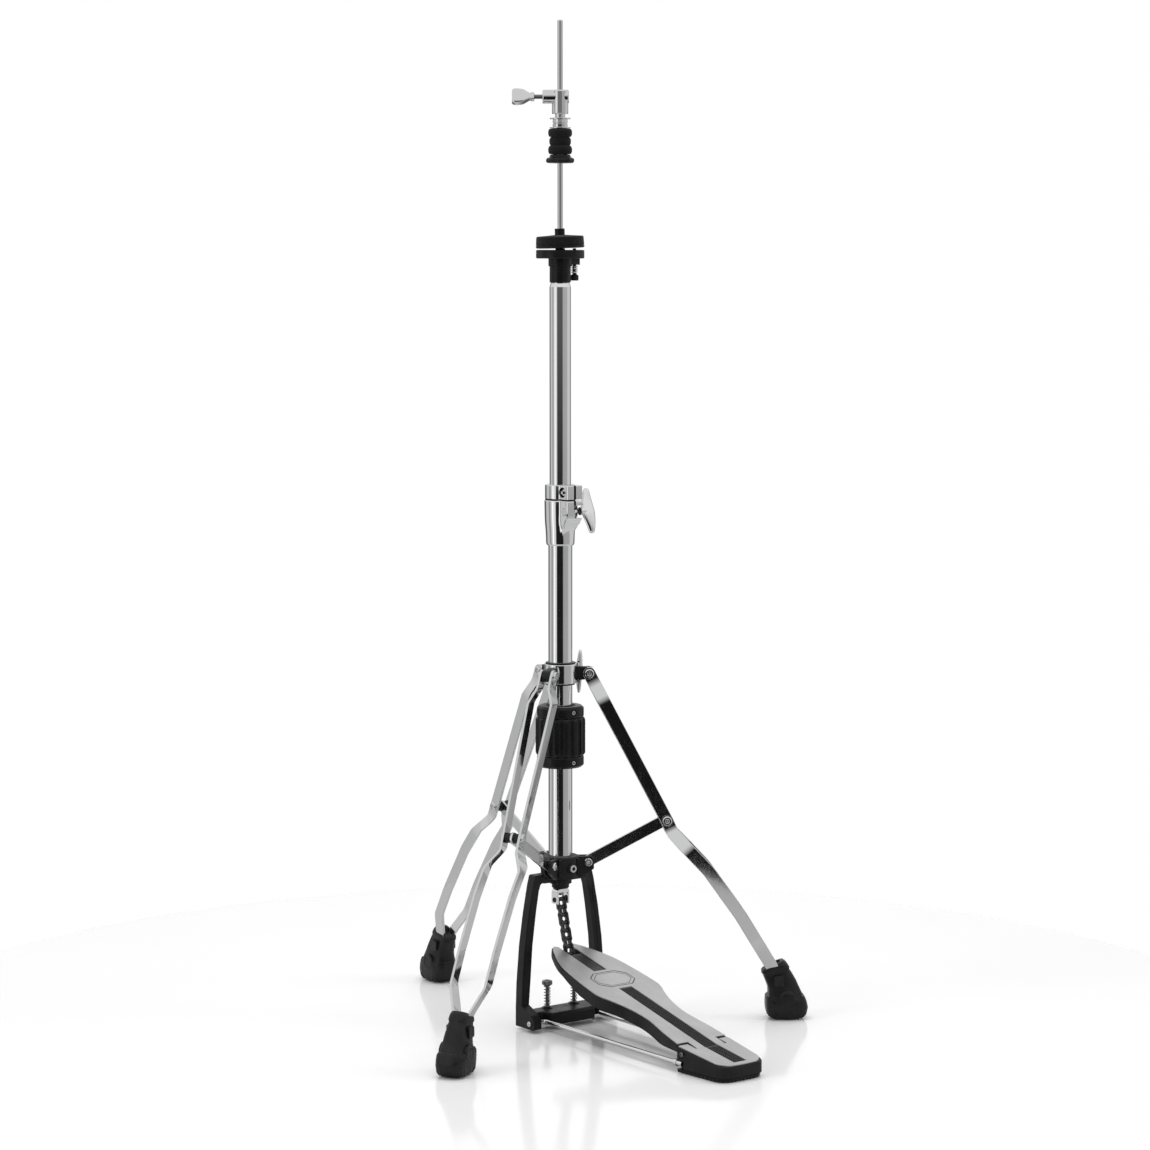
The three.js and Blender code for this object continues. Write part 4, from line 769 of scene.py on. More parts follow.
def housing():
    for node, flip in (("housing_top_cap", 1), ("housing_bottom_cap", -1)):
        low, high = span(node)
        outer = high.x
        inside = LOWER_RADIUS + GAP
        a, b = (low.z, high.z) if flip > 0 else (high.z, low.z)
        profile = fillet([(inside, a, 0), (outer - 0.8, a, 0.4), (outer, a + flip * 1.4, 0.5),
            (outer, b - flip * 2.6, 1.2), (outer - 2.8, b, 0.8), (inside + 3.4, b, 0.8),
            (inside + 2.6, b - flip * 1.6, 0.5), (inside, b - flip * 1.6, 0)], 0.5, 4)
        lathe(profile, 96)
        made = finish(node, BLACK_GLOSS)
        middle = (low.z + high.z) / 2
        spots = [radians(a) for a in (-90, 30, 150)]
        for spot in spots:
            at = (outer * cos(spot), outer * sin(spot), middle)
            lathe([(0, -2.4), (3.3, -2.4), (3.5, 3), (0, 3)], 32,
                facing(at, (cos(spot), sin(spot), 0)))
        cut_by(made, node + "_recesses")
        for spot in spots:
            at = ((outer - 2.6) * cos(spot), (outer - 2.6) * sin(spot), middle)
            hex_socket(2.5, 1.4, facing(at, (cos(spot), sin(spot), 0)))
        piece(node + "_screws", "base", CHROME_SMALL)

    low, high = span("tension_knob")
    outer = high.x
    rows = [0, 0.012, 0.03, 0.05, 0.075, 0.1, 0.13, 0.17, 0.22, 0.3, 0.4, 0.5]
    rows = rows + [1 - r for r in reversed(rows[:-1])]
    count = FLUTES * 16
    rings = []
    for share in rows:
        z = low.z + (high.z - low.z) * share
        from_end = min(share, 1 - share) * (high.z - low.z)
        shoulder = 2.6 * max(0, 1 - from_end / 3.2) ** 1.5
        run = max(0.0, 1 - from_end / 6.5)

        def fluted(angle):
            across = abs((angle * FLUTES / (2 * pi)) % 1 - 0.5) * 2
            bowl = max(0.0, 1 - (across / 0.74) ** 2 - run ** 2)
            return outer - shoulder - 2.3 * sqrt(bowl)
        rings.append(circle(1, z, count, fluted))
    inner = LOWER_RADIUS + 1
    rings += [circle(inner, z, count) for z in (high.z, low.z)]
    loft(rings, cap=False, wrap=True)
    finish("tension_knob", BLACK_GLOSS)


# ---- Legs ----

STRAP_SIDE = [(COLLAR_REACH, COLLAR_HEIGHT, 0), (MID_REACH, MID_HEIGHT, 20), (134.3, 230.1, 20),
    (176.2, 185.3, 60), (216.5, 128.7, 60), (FOOT_REACH - 20, 65, 12), (FOOT_REACH - 13, 48, 0)]
STRAP_FRONT = [(7.3, COLLAR_HEIGHT + 20, 0), (7.3, COLLAR_HEIGHT - 13, 4),
    (15.2, COLLAR_HEIGHT - 30, 4), (13.4, COLLAR_HEIGHT - 90, 60), (10.6, MID_HEIGHT + 7, 60),
    (10.6, MID_HEIGHT - 13, 5), (22.8, MID_HEIGHT - 31, 5), (21.8, 94, 10), (8.5, 64, 8),
    (3.5, 38, 0)]


def strap(side):
    """A flat bar that follows one line seen from the side and one seen along the leg."""
    line = [Vector(p) for p in resampled(fillet(STRAP_SIDE, 10, 8), 3.5)]
    front = fillet(STRAP_FRONT, 8, 8)

    def offset(z):
        for (y0, z0), (y1, z1) in zip(front, front[1:]):
            if z1 <= z <= z0:
                slope = (y1 - y0) / (z1 - z0) if z0 != z1 else 0
                return y0 + slope * (z - z0), hypot(1, slope)
        return front[-1][0], 1

    half = STRAP_WIDTH / 2
    heading = (line[1] - line[0]).normalized()
    rows = []
    for step in range(9):
        angle = pi / 2 * (1 - step / 9)
        rows.append((line[0] - heading * half * sin(angle), heading, max(0.9, half * cos(angle))))
    for i, point in enumerate(line):
        along = (line[min(i + 1, len(line) - 1)] - line[max(i - 1, 0)]).normalized()
        rows.append((point, along, half))
    rings = []
    for centre, along, wide in rows:
        across = Vector((-along.y, along.x))
        ring = []
        for w, t in rounded_box(2 * wide, STRAP_THICKNESS, min(0.6, wide * 0.6)):
            spot = centre + across * w
            y, stretch = offset(spot.y)
            ring.append((spot.x, side * (y + t * stretch), spot.y))
        rings.append(ring)
    loft(rings)


FOOT_STATIONS = [
    # share of waviness, inner edge (r, z), outer edge (r, z), half width, squareness
    (0, (-13, 1.2), (13, 1.2), 13.5, 3), (0, (-20, 1.6), (19.5, 1.6), 15.8, 3.4),
    (0, (-23.5, 4.5), (22.5, 5), 17.0, 3.6), (0, (-26.2, 12), (25.2, 13.5), 17.9, 3.8),
    (0.3, (-26.4, 19), (24.0, 19.5), 18.0, 3.8), (1, (-26.2, 26), (21.8, 25.6), 18.0, 3.8),
    (1, (-25.4, 28.2), (20.6, 27.8), 17.2, 3.8), (1, (-23.6, 28.8), (18.8, 28.6), 15.6, 3.8),
    (1, (-23.2, 31), (18.0, 31), 14.8, 3.6), (0.5, (-23.6, 38), (14.6, 38), 13.6, 3.5),
    (0, (-26.0, 45), (10.6, 47), 12.3, 3.5), (0, (-28.6, 51), (5.4, 56), 11.2, 3.5),
    (0, (-29.4, 54), (2.4, 60.5), 10.6, 3.5), (0, (-31.0, 55.2), (2.6, 63), 11.3, 3.5),
    (0, (-31.2, 58.8), (-0.4, 67.6), 11.1, 3.5), (0, (-30.2, 60.2), (-2.0, 69.6), 10.5, 3.4),
    (0, (-28.4, 61.4), (-5.0, 71.6), 9.4, 3.3), (0, (-26.2, 60.6), (-8.6, 70.4), 7.8, 3.2),
    (0, (-25.6, 56), (-9.4, 64), 7.4, 3.2)]


def foot():
    """A moulded boot round the strap ends: ribbed sole, wavy skirt, waist and lip."""
    count = 96
    rings = []
    for i, (wavy, inner, outer, half, square) in enumerate(FOOT_STATIONS):
        centre = ((inner[0] + outer[0]) / 2, (inner[1] + outer[1]) / 2)
        reach = ((outer[0] - inner[0]) / 2, (outer[1] - inner[1]) / 2)
        power = 2 / square
        ring = []
        for k in range(count):
            angle = 2 * pi * k / count
            c, s = cos(angle), sin(angle)
            u = copysign(abs(c) ** power, c)
            v = copysign(abs(s) ** power, s)
            rib = 0.75 * max(0, cos(24 * angle)) if 1 <= i <= 2 else 0
            along = centre[0] + (reach[0] + rib) * u
            z = centre[1] + reach[1] * u
            if wavy and abs(v) > 0.8:
                crest = 4.2 * exp(-((along + 2) / 6.5) ** 2)
                dips = 3.0 * exp(-((abs(along + 2) - 14) / 5) ** 2)
                z += wavy * (crest - dips)
            ring.append((FOOT_REACH + along, (half + rib) * v, z))
        rings.append(ring)
    loft(rings)
    for side in (-1, 1):
        at = facing((FOOT_REACH - 2, side * 15.0, 25.5), (0, side, 0))
        lathe(fillet([(0, -3, 0), (10.6, -3), (10.6, 2.4, 0.8), (8.6, 3.3, 0.6),
            (6.2, 3.2, 0.6), (5.4, 2.2, 0.5), (3.4, 2.0, 0.5), (2.4, 2.9, 0.4), (0, 3.0, 0)], 0.5,
            3), 48, at)
        plate = loop([(-7, -6), (7, -6), (6, 6), (-6, 6)], 2, 4)
        tilt = facing((FOOT_REACH - 11.5, side * 14.1, 47.5), (0, side, 0.02))
        prism("z", plate, -2, 0.75, tilt @ Matrix.Rotation(side * radians(-90), 4, "Z"))


def legs():
    for name in LEGS:
        at = pivot(name + "_leg_fold")
        turn = around(atan2(at.y, at.x))
        for letter, side in (("a", 1), ("b", -1)):
            strap(side)
            finish(f"{name}_leg_strap_{letter}", CHROME_STRAP, matrix=turn)
        for side in (-1, 1):
            for reach, radius, height, r, z in ((8.8, 5.6, 2.3, COLLAR_REACH, COLLAR_HEIGHT),
                    (12.1, 5.8, 2.2, MID_REACH, MID_HEIGHT)):
                spot = facing((r, side * reach, z), (0, side, 0))
                disc(7.2, -0.4, 0.45, 0.15, 2, 40, spot)
                screw_head(radius, height, spot @ shift(0, 0, 0.4), 0.5)
        tube([(COLLAR_REACH, -9, COLLAR_HEIGHT), (COLLAR_REACH, 9, COLLAR_HEIGHT)], BOLT_RADIUS, 24)
        finish(name + "_leg_bolt", CHROME_SMALL, matrix=turn, name=name + "_leg_bolts")
        foot()
        finish(name + "_foot", RUBBER, matrix=turn)

        a, b = Vector((HUB_REACH, HUB_HEIGHT)), Vector((MID_REACH, MID_HEIGHT))
        along = (b - a).normalized()
        across = Vector((-along.y, along.x))
        outline = []
        for centre, start in ((b, 1), (a, -1)):
            for k in range(13):
                angle = pi * (0.5 - k / 12)
                spoke = along * cos(angle) + across * sin(angle)
                outline.append(tuple(centre + 7 * start * spoke))
        prism("y", outline, -STRAP_THICKNESS / 2, STRAP_THICKNESS / 2)
        finish(name + "_brace", CHROME_STRAP, bevel=0.5, steps=2, matrix=turn)
        for side in (-1, 1):
            lathe(fillet([(0, 1.7, 0), (6.2, 1.7), (6.2, 3.0), (5.6, 3.6), (5.6, 6.2),
                (6.2, 6.8), (6.2, 8.6), (0, 8.6, 0)], 0.35, 3), 48,
                facing((MID_REACH, 0, MID_HEIGHT), (0, side, 0)))
        finish(name + "_brace_spool", RUBBER, matrix=turn, name=name + "_spool_finish")
        for side in (-1, 1):
            spot = facing((HUB_REACH, side * 7.4, HUB_HEIGHT), (0, side, 0))
            screw_head(5.0, 2.4, spot, 0.42)
        tube([(HUB_REACH, -8, HUB_HEIGHT), (HUB_REACH, 8, HUB_HEIGHT)], BOLT_RADIUS, 24)
        finish(name + "_hub_pin", CHROME_SMALL, matrix=turn)


# ---- Leg collar ----

KEY_BEARING = radians(-37) + 0.66    # the bush's key, a little right of the camera


def collar():
    low, high = COLLAR_HEIGHT - 11.5, COLLAR_HEIGHT + 11.5
    inner, outer = LOWER_RADIUS + 1.9, 19.6
    lathe(loop([(inner, low), (outer - 0.4, low), (outer, low + 0.6), (outer, high - 0.6),
        (outer - 0.4, high), (inner, high)], 0.5, 4), 96)
    finish("leg_collar", CHROME)
    for name in LEGS:
        at = pivot(name + "_leg_fold")
        turn = around(atan2(at.y, at.x))
        cap = [(COLLAR_REACH + 7 * cos(a), COLLAR_HEIGHT + 7 * sin(a))
            for a in (radians(-90 + 15 * k) for k in range(13))]
        outline = [(17, COLLAR_HEIGHT - 8.5)] + cap + [(17, COLLAR_HEIGHT + 8.5)]
        prism("y", outline, -5.4, 5.4, turn)
    wing_at = pivot("collar_wing_turn")
    clamp_turn = around(atan2(wing_at.y, wing_at.x))
    for side in (-1, 1):
        prism("z", loop([(16, side * 1.5), (31, side * 1.5), (31, side * 6.8, 1.5),
            (24, side * 6.8, 2), (16, side * 8.5)], 0.4, 3), low + 0.6, high - 1.2, clamp_turn)
    piece("collar_lugs", "leg_collar", BLACK, bevel=0.9, steps=3)
    bore = LOWER_RADIUS + 0.35
    lip = inner + 1.6
    for z, way in ((low, -1), (high, 1)):
        lathe(loop(rect(bore, lip, z - way * 0.2, z + way * 1.9), 0.5, 3), 72)
    key = around(KEY_BEARING)
    prism("z", rounded_box(2.2, 3.4, 0.4), low - 1, low + 4.2, key @ shift(outer - 0.6, 0, 0))
    finish("collar_bushing", RUBBER)


# ---- Hub and base frame ----


def hub():
    refined("hub_casting", HUB_BLACK, 0.8, 3)
    height = HUB_HEIGHT - 5
    boss = facing((0, -21.0, height), (0, -1, 0))
    lathe(fillet([(0, -3, 0), (6.4, -3), (5.6, 2.4), (0, 2.4, 0)], 0.5, 3), 40, boss)
    side = facing((-17.2, -13.4, height), (-0.79, -0.61, 0))
    lathe(fillet([(0, -3, 0), (5.6, -3), (5.0, 1.8), (0, 1.8, 0)], 0.5, 3), 40, side)
    rib = around(radians(-90))
    for angle in (-38, 30):
        prism("y", [(20, HUB_HEIGHT - 17), (24, HUB_HEIGHT - 13), (24, HUB_HEIGHT + 5),
            (20, HUB_HEIGHT + 7)], -1.2, 1.2, rib @ around(radians(angle)))
    piece("hub_bosses", "base", HUB_BLACK, bevel=0.3)
    hex_socket(4.6, 3.4, boss @ shift(0, 0, 2.2))
    hex_socket(3.6, 2.4, side @ shift(0, 0, 1.6))
    piece("hub_bolts", "base", CHROME_SMALL)
    nose = span("hub_casting")[0].z
    lathe(loop([(3.6, nose - 0.8), (9.2, nose - 0.8), (10.4, nose + 0.6), (10.4, nose + 4.4),
        (13.4, nose + 5.4), (13.4, nose + 11.2), (3.6, nose + 11.2)], 0.5, 3), 64)
    piece("hub_bush", "base", BLACK)


UPRIGHT_OUTER = [(29, 184, 0), (42.4, 184, 2.5), (45.5, 172, 8), (52, 138, 60), (57.6, 100, 60),
    (61.4, 55, 60), (62.5, 27, 6), (62.5, 3.5, 0.8)]
UPRIGHT_INNER = [(51.5, 3.5, 0.8), (51.5, 27, 6), (49.2, 55, 60), (46, 100, 60), (41, 138, 60),
    (36.5, 165, 9), (33.5, 173.5, 5), (29, 173.5, 0)]


def uprights():
    outline = fillet(UPRIGHT_OUTER, 2, 5) + fillet(UPRIGHT_INNER, 2, 5)
    for name, side in (("left", -1), ("right", 1)):
        prism("y", [(side * x, z) for x, z in outline], -6, 6)
        web = [(side * x, z) for x, z in loop([(45, 168, 3), (52.6, 128, 40), (57.5, 90, 40),
            (59.8, 40, 4), (54.4, 40, 4), (52.2, 90, 40), (47.6, 128, 40), (42.5, 158, 3)], 3, 5)]
        prism("y", web, -6.5, 6.5)
        lug = loop([(5, 3.5, 0.5), (-29.5, 3.5, 2), (-31, 6, 2), (-31, 15, 3), (-25, 20.4, 4),
            (-7, 29, 5), (5, 29, 0.5)], 1, 4)
        low, high = sorted((side * 51.2, side * 62.9))
        prism("x", lug, low, high)
        finish(name + "_upright", BLACK, bevel=0.9, steps=3)
        spot = (side * 62.9, FLOOR_ROD.y, FLOOR_ROD.z)
        disc(4.9, -0.3, 0.4, 0.15, 2, 40, facing(spot, (side, 0, 0)))
        piece(name + "_lug_washer", "base", BLACK)
        screw_head(3.3, 1.7, facing((spot[0] + side * 0.3, spot[1], spot[2]), (side, 0, 0)),
            0.4)
        piece(name + "_lug_screw", "base", CHROME_SMALL)


def base_plate():
    back, front = 6, -28
    outline = loop([(-51, -14, 1), (-38, -14, 4), (-31, front, 4), (31, front, 4), (38, -14, 4),
        (51, -14, 1), (51, back - 1, 2), (34, back + 3, 8), (-34, back + 3, 8),
        (-51, back - 1, 2)], 2, 4)
    rings = []
    for inset, z in ((1.0, 5), (0, 6), (0, 16.6), (1.6, 19.4), (3.0, 20)):
        rings.append([(x, y + (inset if y < -13.9 else -inset if y > 0 else 0), z)
            for x, y in outline])
    loft(rings)
    for side in (-1, 1):
        lathe(loop([(2.6, 19.5), (7.2, 19.5), (6.6, 20.9), (2.6, 20.9)], 0.4, 2), 40,
            shift(side * SPUR_REACH, 0, 0))
    finish("base_plate", BLACK, bevel=0.5, steps=2)


def spurs():
    for name, side in (("left", -1), ("right", 1)):
        node = name + "_spur"
        low, high = span(node)
        top = high.z
        at = shift(side * SPUR_REACH, 0, 0)
        lathe(fillet([(0, low.z, 0), (2, low.z + 4, 0.5), (2, 21, 0.2), (4.6, 21, 0.3),
            (4.6, 22.4, 0.3), (2, 22.4, 0.3), (2, top - 7.4, 0.3), (4, top - 7.4, 0.4),
            (4.4, top - 6, 0.4), (6, top - 5.6, 0.7), (6, top - 0.8, 0.8), (3.0, top - 0.2, 0.3),
            (2.6, top - 2.4, 0.3), (0, top - 2.4, 0)], 0.3, 3), 48, at)
        for k in range(24):
            angle = 2 * pi * k / 24
            prism("z", rounded_box(0.7, 0.8, 0.2, 1), top - 5.2, top - 1.4,
                at @ around(angle) @ shift(5.95, 0, 0))
        tube(helix(2.12, 22.5, top - 7.5, 17, 14), 0.22, 6, at)
        finish(node, DARK_CHROME)
        tube(helix(3.7, 23, top - 8, 6.5, 20), 0.55, 8, at)
        piece(node + "_spring", node, DARK_SPRING)


def rods():
    bend, hook = 40, 36
    for name, side in (("left", -1), ("right", 1)):
        corner = fillet([FLOOR_ROD[:2], (bend, FLOOR_ROD.y), (hook, HEEL_PIN.y)], 5, 8)
        path = [(side * x, y, FLOOR_ROD.z) for x, y in corner]
        tube(path, 2.8, 24)
        lathe(loop(rect(2.6, 4.1, 0, 5), 0.5, 3), 32,
            facing((side * hook, HEEL_PIN.y + 8.6, FLOOR_ROD.z), (side * 0.016, 1, 0)))
        finish(name + "_rod", CHROME)


# ---- Heel ----

HEEL_FRONT = HEEL_PIN.y + 8.5
HEEL_LENGTH = 75
HEEL_REAR = HEEL_FRONT - HEEL_LENGTH
HEEL_TOP = 30.2, 18.8                # height of the heel plate at its front and its rear
HEEL_HALF = 37.5
STRIP_HALF = 9


def heel_top(y, drop=0):
    share = (HEEL_FRONT - y) / (HEEL_FRONT - HEEL_REAR + 2)
    return HEEL_TOP[0] - (HEEL_TOP[0] - HEEL_TOP[1]) * share - drop


def heel_outline(inset, steps=7):
    half, rear = HEEL_HALF - inset, HEEL_REAR + inset
    return loop([(half, HEEL_FRONT - min(inset, 1), 0.3), (-half, HEEL_FRONT - min(inset, 1), 0.3),
        (-half + 5, rear + 10, 15), (-half + 15, rear + 0.8, 12), (0, rear, 200),
        (half - 15, rear + 0.8, 12), (half - 5, rear + 10, 15)], 4, steps)


def tread(x_half, start, end, height, lift):
    """Rows of small raised blocks across a strip; lift gives its surface height at y."""
    pitch = 3.4
    columns = 5
    rows = int(abs(end - start) / pitch)
    way = 1 if end > start else -1
    wide = 2 * x_half / columns
    for row in range(rows):
        y = start + way * (row + 0.5) * pitch
        for column in range(columns):
            x = -x_half + (column + 0.5) * wide
            a, b, c = wide * 0.34, pitch * 0.34, 0.72
            base = [(x + i * a, y + j * b) for i, j in ((-1, -1), (1, -1), (1, 1), (-1, 1))]
            top = [(x + i * a * c, y + j * b * c) for i, j in ((-1, -1), (1, -1), (1, 1), (-1, 1))]
            loft([[(px, py, lift(py) - 0.2) for px, py in base],
                [(px, py, lift(py) + height * 0.6) for px, py in base],
                [(px, py, lift(py) + height) for px, py in top]])


def heel():
    under = 1.7
    refined("heel_casting", BLACK_CAST, 1.0, 3)
    for side in (-1, 1):
        spot = facing((side * 36.6, HEEL_PIN.y, HEEL_PIN.z), (side, 0, 0))
        screw_head(2.8, 1.3, spot @ shift(0, 0, 0.6), 0.55)
    tube([(-35, HEEL_PIN.y, HEEL_PIN.z), (35, HEEL_PIN.y, HEEL_PIN.z)], 3, 24)
    finish("heel_hinge_pin", DARK_CHROME, name="heel_hinge_finish")

    strip_end = HEEL_REAR + 8
    notch, deep = 22.7, HEEL_PIN.y - 7.7
    outline = [(x, y) for x, y in heel_outline(1.5, 9) if y < HEEL_FRONT - 5]
    half = HEEL_HALF - 1.6
    front = HEEL_FRONT - 1
    ring = fillet([(STRIP_HALF + 0.3, strip_end, 0.4), (-STRIP_HALF - 0.3, strip_end, 0.4),
        (-STRIP_HALF - 0.3, deep, 0.3), (-notch, deep, 0.5), (-notch, front, 0.5),
        (-half, front, 0.6)], 0.4, 2)
    ring += outline
    ring += fillet([(half, front, 0.6), (notch, front, 0.5), (notch, deep, 0.5),
        (STRIP_HALF + 0.3, deep, 0.3)], 0.4, 2)
    loft([[(x, y, heel_top(y, drop)) for x, y in ring] for drop in (1.4, 0)])
    finish("heel_plate", BRUSHED, bevel=0.35, steps=2)
    inner = STRIP_HALF
    loft([[(x, y, heel_top(y, drop)) for x, y in ((-inner, strip_end + 0.3),
        (inner, strip_end + 0.3), (inner, deep), (-inner, deep))] for drop in (under, 0.55)])
    tread(inner - 0.8, strip_end + 1, deep - 1, 0.8, lambda y: heel_top(y, 0.55))
    piece("heel_tread", "base", RUBBER)

    rings = []
    dense = resampled(heel_outline(0.5, 9) + heel_outline(0.5, 9)[:1], 1.1)[:-1]
    for z, inset in ((0, 0.8), (0.6, 0), (2.6, 0), (3.0, 0.3), (3.4, -0.5), (4.0, -0.4)):
        ring = []
        for k, (x, y) in enumerate(dense):
            groove = 0.9 if z < 2.9 and (k // 3) % 2 else 0
            scale = 1 - (inset + groove) / 40
            ring.append((x * scale, (y - HEEL_FRONT + 35) * scale + HEEL_FRONT - 35, z))
        rings.append(ring)
    loft(rings)
    finish("heel_sole", RUBBER)


# ---- Footboard ----

TOE_HEIGHT = 96.2
BOARD_TOP = 7.5
BOARD_START = 11.2
BADGE_NEAR = 158
BADGE_FAR = 207
TOE_GAP = 28
rise = TOE_HEIGHT - HEEL_PIN.z
reach = hypot(HEEL_PIN.y, rise)
SLOPE = asin(rise / reach) - asin(BOARD_TOP / reach)
BOARD_LENGTH = -HEEL_PIN.y * cos(SLOPE) + rise * sin(SLOPE) - 4.6
BOARD = Matrix.Translation(HEEL_PIN) @ Matrix.Rotation(SLOPE, 4, "X")
CASTING_TOP = BOARD_TOP - 1.7
RIM_DROP = 5.5


def board_edge(inset):
    """Right edge of the board from heel to toe, drawn in by inset."""
    end = BOARD_LENGTH - inset
    points = [(36 - inset, BOARD_START), (33.5 - inset, 42), (29 - inset, 77), (32.5 - inset, 108),
        (40 - inset, 132), (46 - inset, 147), (47.5 - inset, 162), (44.7 - inset, 201),
        (39 - inset, end - 46), (26 - inset * 0.9, end - 15), (19 - inset * 0.5, end - 4),
        (14.5, end)]
    return spline(points, 8)


def mirrored(points):
    return [(-x, y) for x, y in reversed(points)]


def footboard():
    tip = BOARD_LENGTH - 2.2
    gap_end = BOARD_LENGTH - TOE_GAP
    rings = []
    for inset, z, deep in ((7.5, -3.2, 0), (5.2, -3.5, 0), (4.2, -3.6, 0.2), (3.4, -3.6, 0.9),
            (2.0, -3.6, 1.0), (0.9, -2.4, 0.9), (0.3, 0.4, 0.5), (0.1, 3, 0),
            (0, CASTING_TOP - 0.5, 0), (0.5, CASTING_TOP, 0)):
        edge = board_edge(inset)
        slot = STRIP_HALF + 0.2 + min(inset, 1.2) * 0.4
        ring = edge + [(slot + 2, tip + 1 - inset * 0.7), (slot, tip - inset * 0.7),
            (slot, gap_end + 1.5), (slot - 1.5, gap_end)]
        rings.append([(x, y, z - RIM_DROP * deep * max(0, min(1, (y - 14) / 30, (226 - y) / 40)))
            for x, y in ring + mirrored(ring)])
    loft(rings)
    prism("x", loop([(14, -3.2, 1), (14, 5.2, 0.5), (-4, 5.4, 2), (-5.6, 1, 3), (-4, -4, 3),
        (2, -5.2, 3)], 1, 4), -18, 18)
    lathe(rect(0, 5.3, -18, 18), 40, ALONG_X)
    for side in (-1, 1):
        for y in (60, 110, 190, 225):
            prism("y", [(side * 3, -7.5), (side * 22, -3.2), (side * 3, -3.2)], y, y + 2.4)
        prism("x", [(20, -3.4), (gap_end - 8, -3.4), (gap_end - 16, -7), (34, -6.4)],
            side * 4 - 1.2, side * 4 + 1.2)
    finish("footboard", BLACK_CAST, bevel=0.3, steps=2, matrix=BOARD)

    edge = board_edge(1.3)
    slot = STRIP_HALF + 0.3
    tongue = 20.2
    right = [(slot, -5.4, 0.3), (tongue, -5.4, 0.6), (tongue, BOARD_START + 1.2, 0.5),
        (edge[0][0], BOARD_START + 1.2, 0.6)]
    right = fillet([(slot, BADGE_NEAR, 0.3)] + right + [edge[1]], 0.4, 2)[:-1]
    right += edge[1:] + [(slot + 1.4, BOARD_LENGTH - 3), (slot, BOARD_LENGTH - 4.4),
        (slot, BADGE_FAR)]
    loft([[(x, y, z) for x, y in right + mirrored(right)]
        for z in (CASTING_TOP + 0.1, BOARD_TOP)])
    finish("footboard_plate", BRUSHED, bevel=0.4, steps=2, matrix=BOARD)

    inner = STRIP_HALF
    low, high = CASTING_TOP - 2, BOARD_TOP - 0.55
    prism("z", rect(-inner, inner, BADGE_FAR + 0.2, gap_end), low, high)
    prism("z", rect(-inner, inner, -5.6, BADGE_NEAR - 0.2), low + 1.2, high)
    for side in (-1, 1):
        prism("z", [(side * (inner - 1.1), BADGE_FAR + 1),
            (side * (inner - 0.2), BADGE_FAR + 1), (side * (inner - 0.2), gap_end),
            (side * (inner - 1.1), gap_end)], high, high + 0.45)
    tread(inner - 0.8, -4.6, BADGE_NEAR - 1, 0.8, lambda y: high)
    tread(inner - 2.2, BADGE_FAR + 2, gap_end - 1, 0.2, lambda y: high)
    finish("footboard_grip", RUBBER, matrix=BOARD)

    middle = (BADGE_NEAR + BADGE_FAR) / 2
    for grow, line in ((0, 0.9), (-3.2, 0.5)):
        rims = [loop([(-27 - g, middle - 9 - g), (-16 - g, middle - 19 - g),
            (16 + g, middle - 19 - g), (27 + g, middle - 9 - g), (27 + g, middle + 9 + g),
            (16 + g, middle + 19 + g), (-16 - g, middle + 19 + g), (-27 - g, middle + 9 + g)], 4,
            5) for g in (grow, grow - line)]
        top = BOARD_TOP + 0.12
        rings = [[(x, y, z) for x, y in rims[i]]
            for i, z in ((0, BOARD_TOP - 0.1), (0, top), (1, top), (1, BOARD_TOP - 0.1))]
        loft(rings, cap=False, wrap=True)
    piece("badge_outline", "footboard", BADGE_BLACK, matrix=BOARD)


# ---- Chain ----

PITCH = 9.525
LINK_RADIUS = 4.2
LINK_PLATE = 1.1
LINKS = 7
ANCHOR_Y = -18


def link_outline(top):
    """A waisted plate round two pins a pitch apart."""
    points = []
    for centre, start in ((top, 0), (top - PITCH, pi)):
        for k in range(13):
            angle = start - radians(25) + radians(230) * k / 12
            points.append((LINK_RADIUS * cos(angle), centre + LINK_RADIUS * sin(angle)))
    return points


def chain():
    lean = shift(0, 0, YOKE_PIN.z) @ Matrix.Rotation(asin(ANCHOR_Y / (PITCH * LINKS)), 4, "X")
    for link in range(LINKS):
        top = -link * PITCH
        outer = 5.3 if link % 2 == 0 else 3.9
        for x in (-outer, outer - LINK_PLATE):
            outline = link_outline(top)
            middle = (0, top - PITCH / 2)
            rings = []
            for inset, depth in ((0.35, 0), (0, 0.3), (0, 0.8), (0.35, LINK_PLATE)):
                scale = 1 - inset / 5
                rings.append([(x + depth, middle[0] + (y - middle[0]) * scale,
                    middle[1] + (z - middle[1]) * scale) for y, z in outline])
            loft(rings)
    for pin in range(LINKS + 1):
        z = -pin * PITCH
        reach = 8.4 if pin in (0, LINKS) else 5.9
        turn = shift(0, 0, z) @ ALONG_X
        lathe(fillet([(0, -reach, 0), (1.7, -reach, 0.4), (1.7, reach, 0.4), (0, reach, 0)],
            0.4, 3), 24, turn)
        disc(2.6, -2.6, 2.6, 0.3, 2, 28, turn)
    finish("chain", DARK_STEEL, matrix=lean)


# ---- Cymbal seat ----


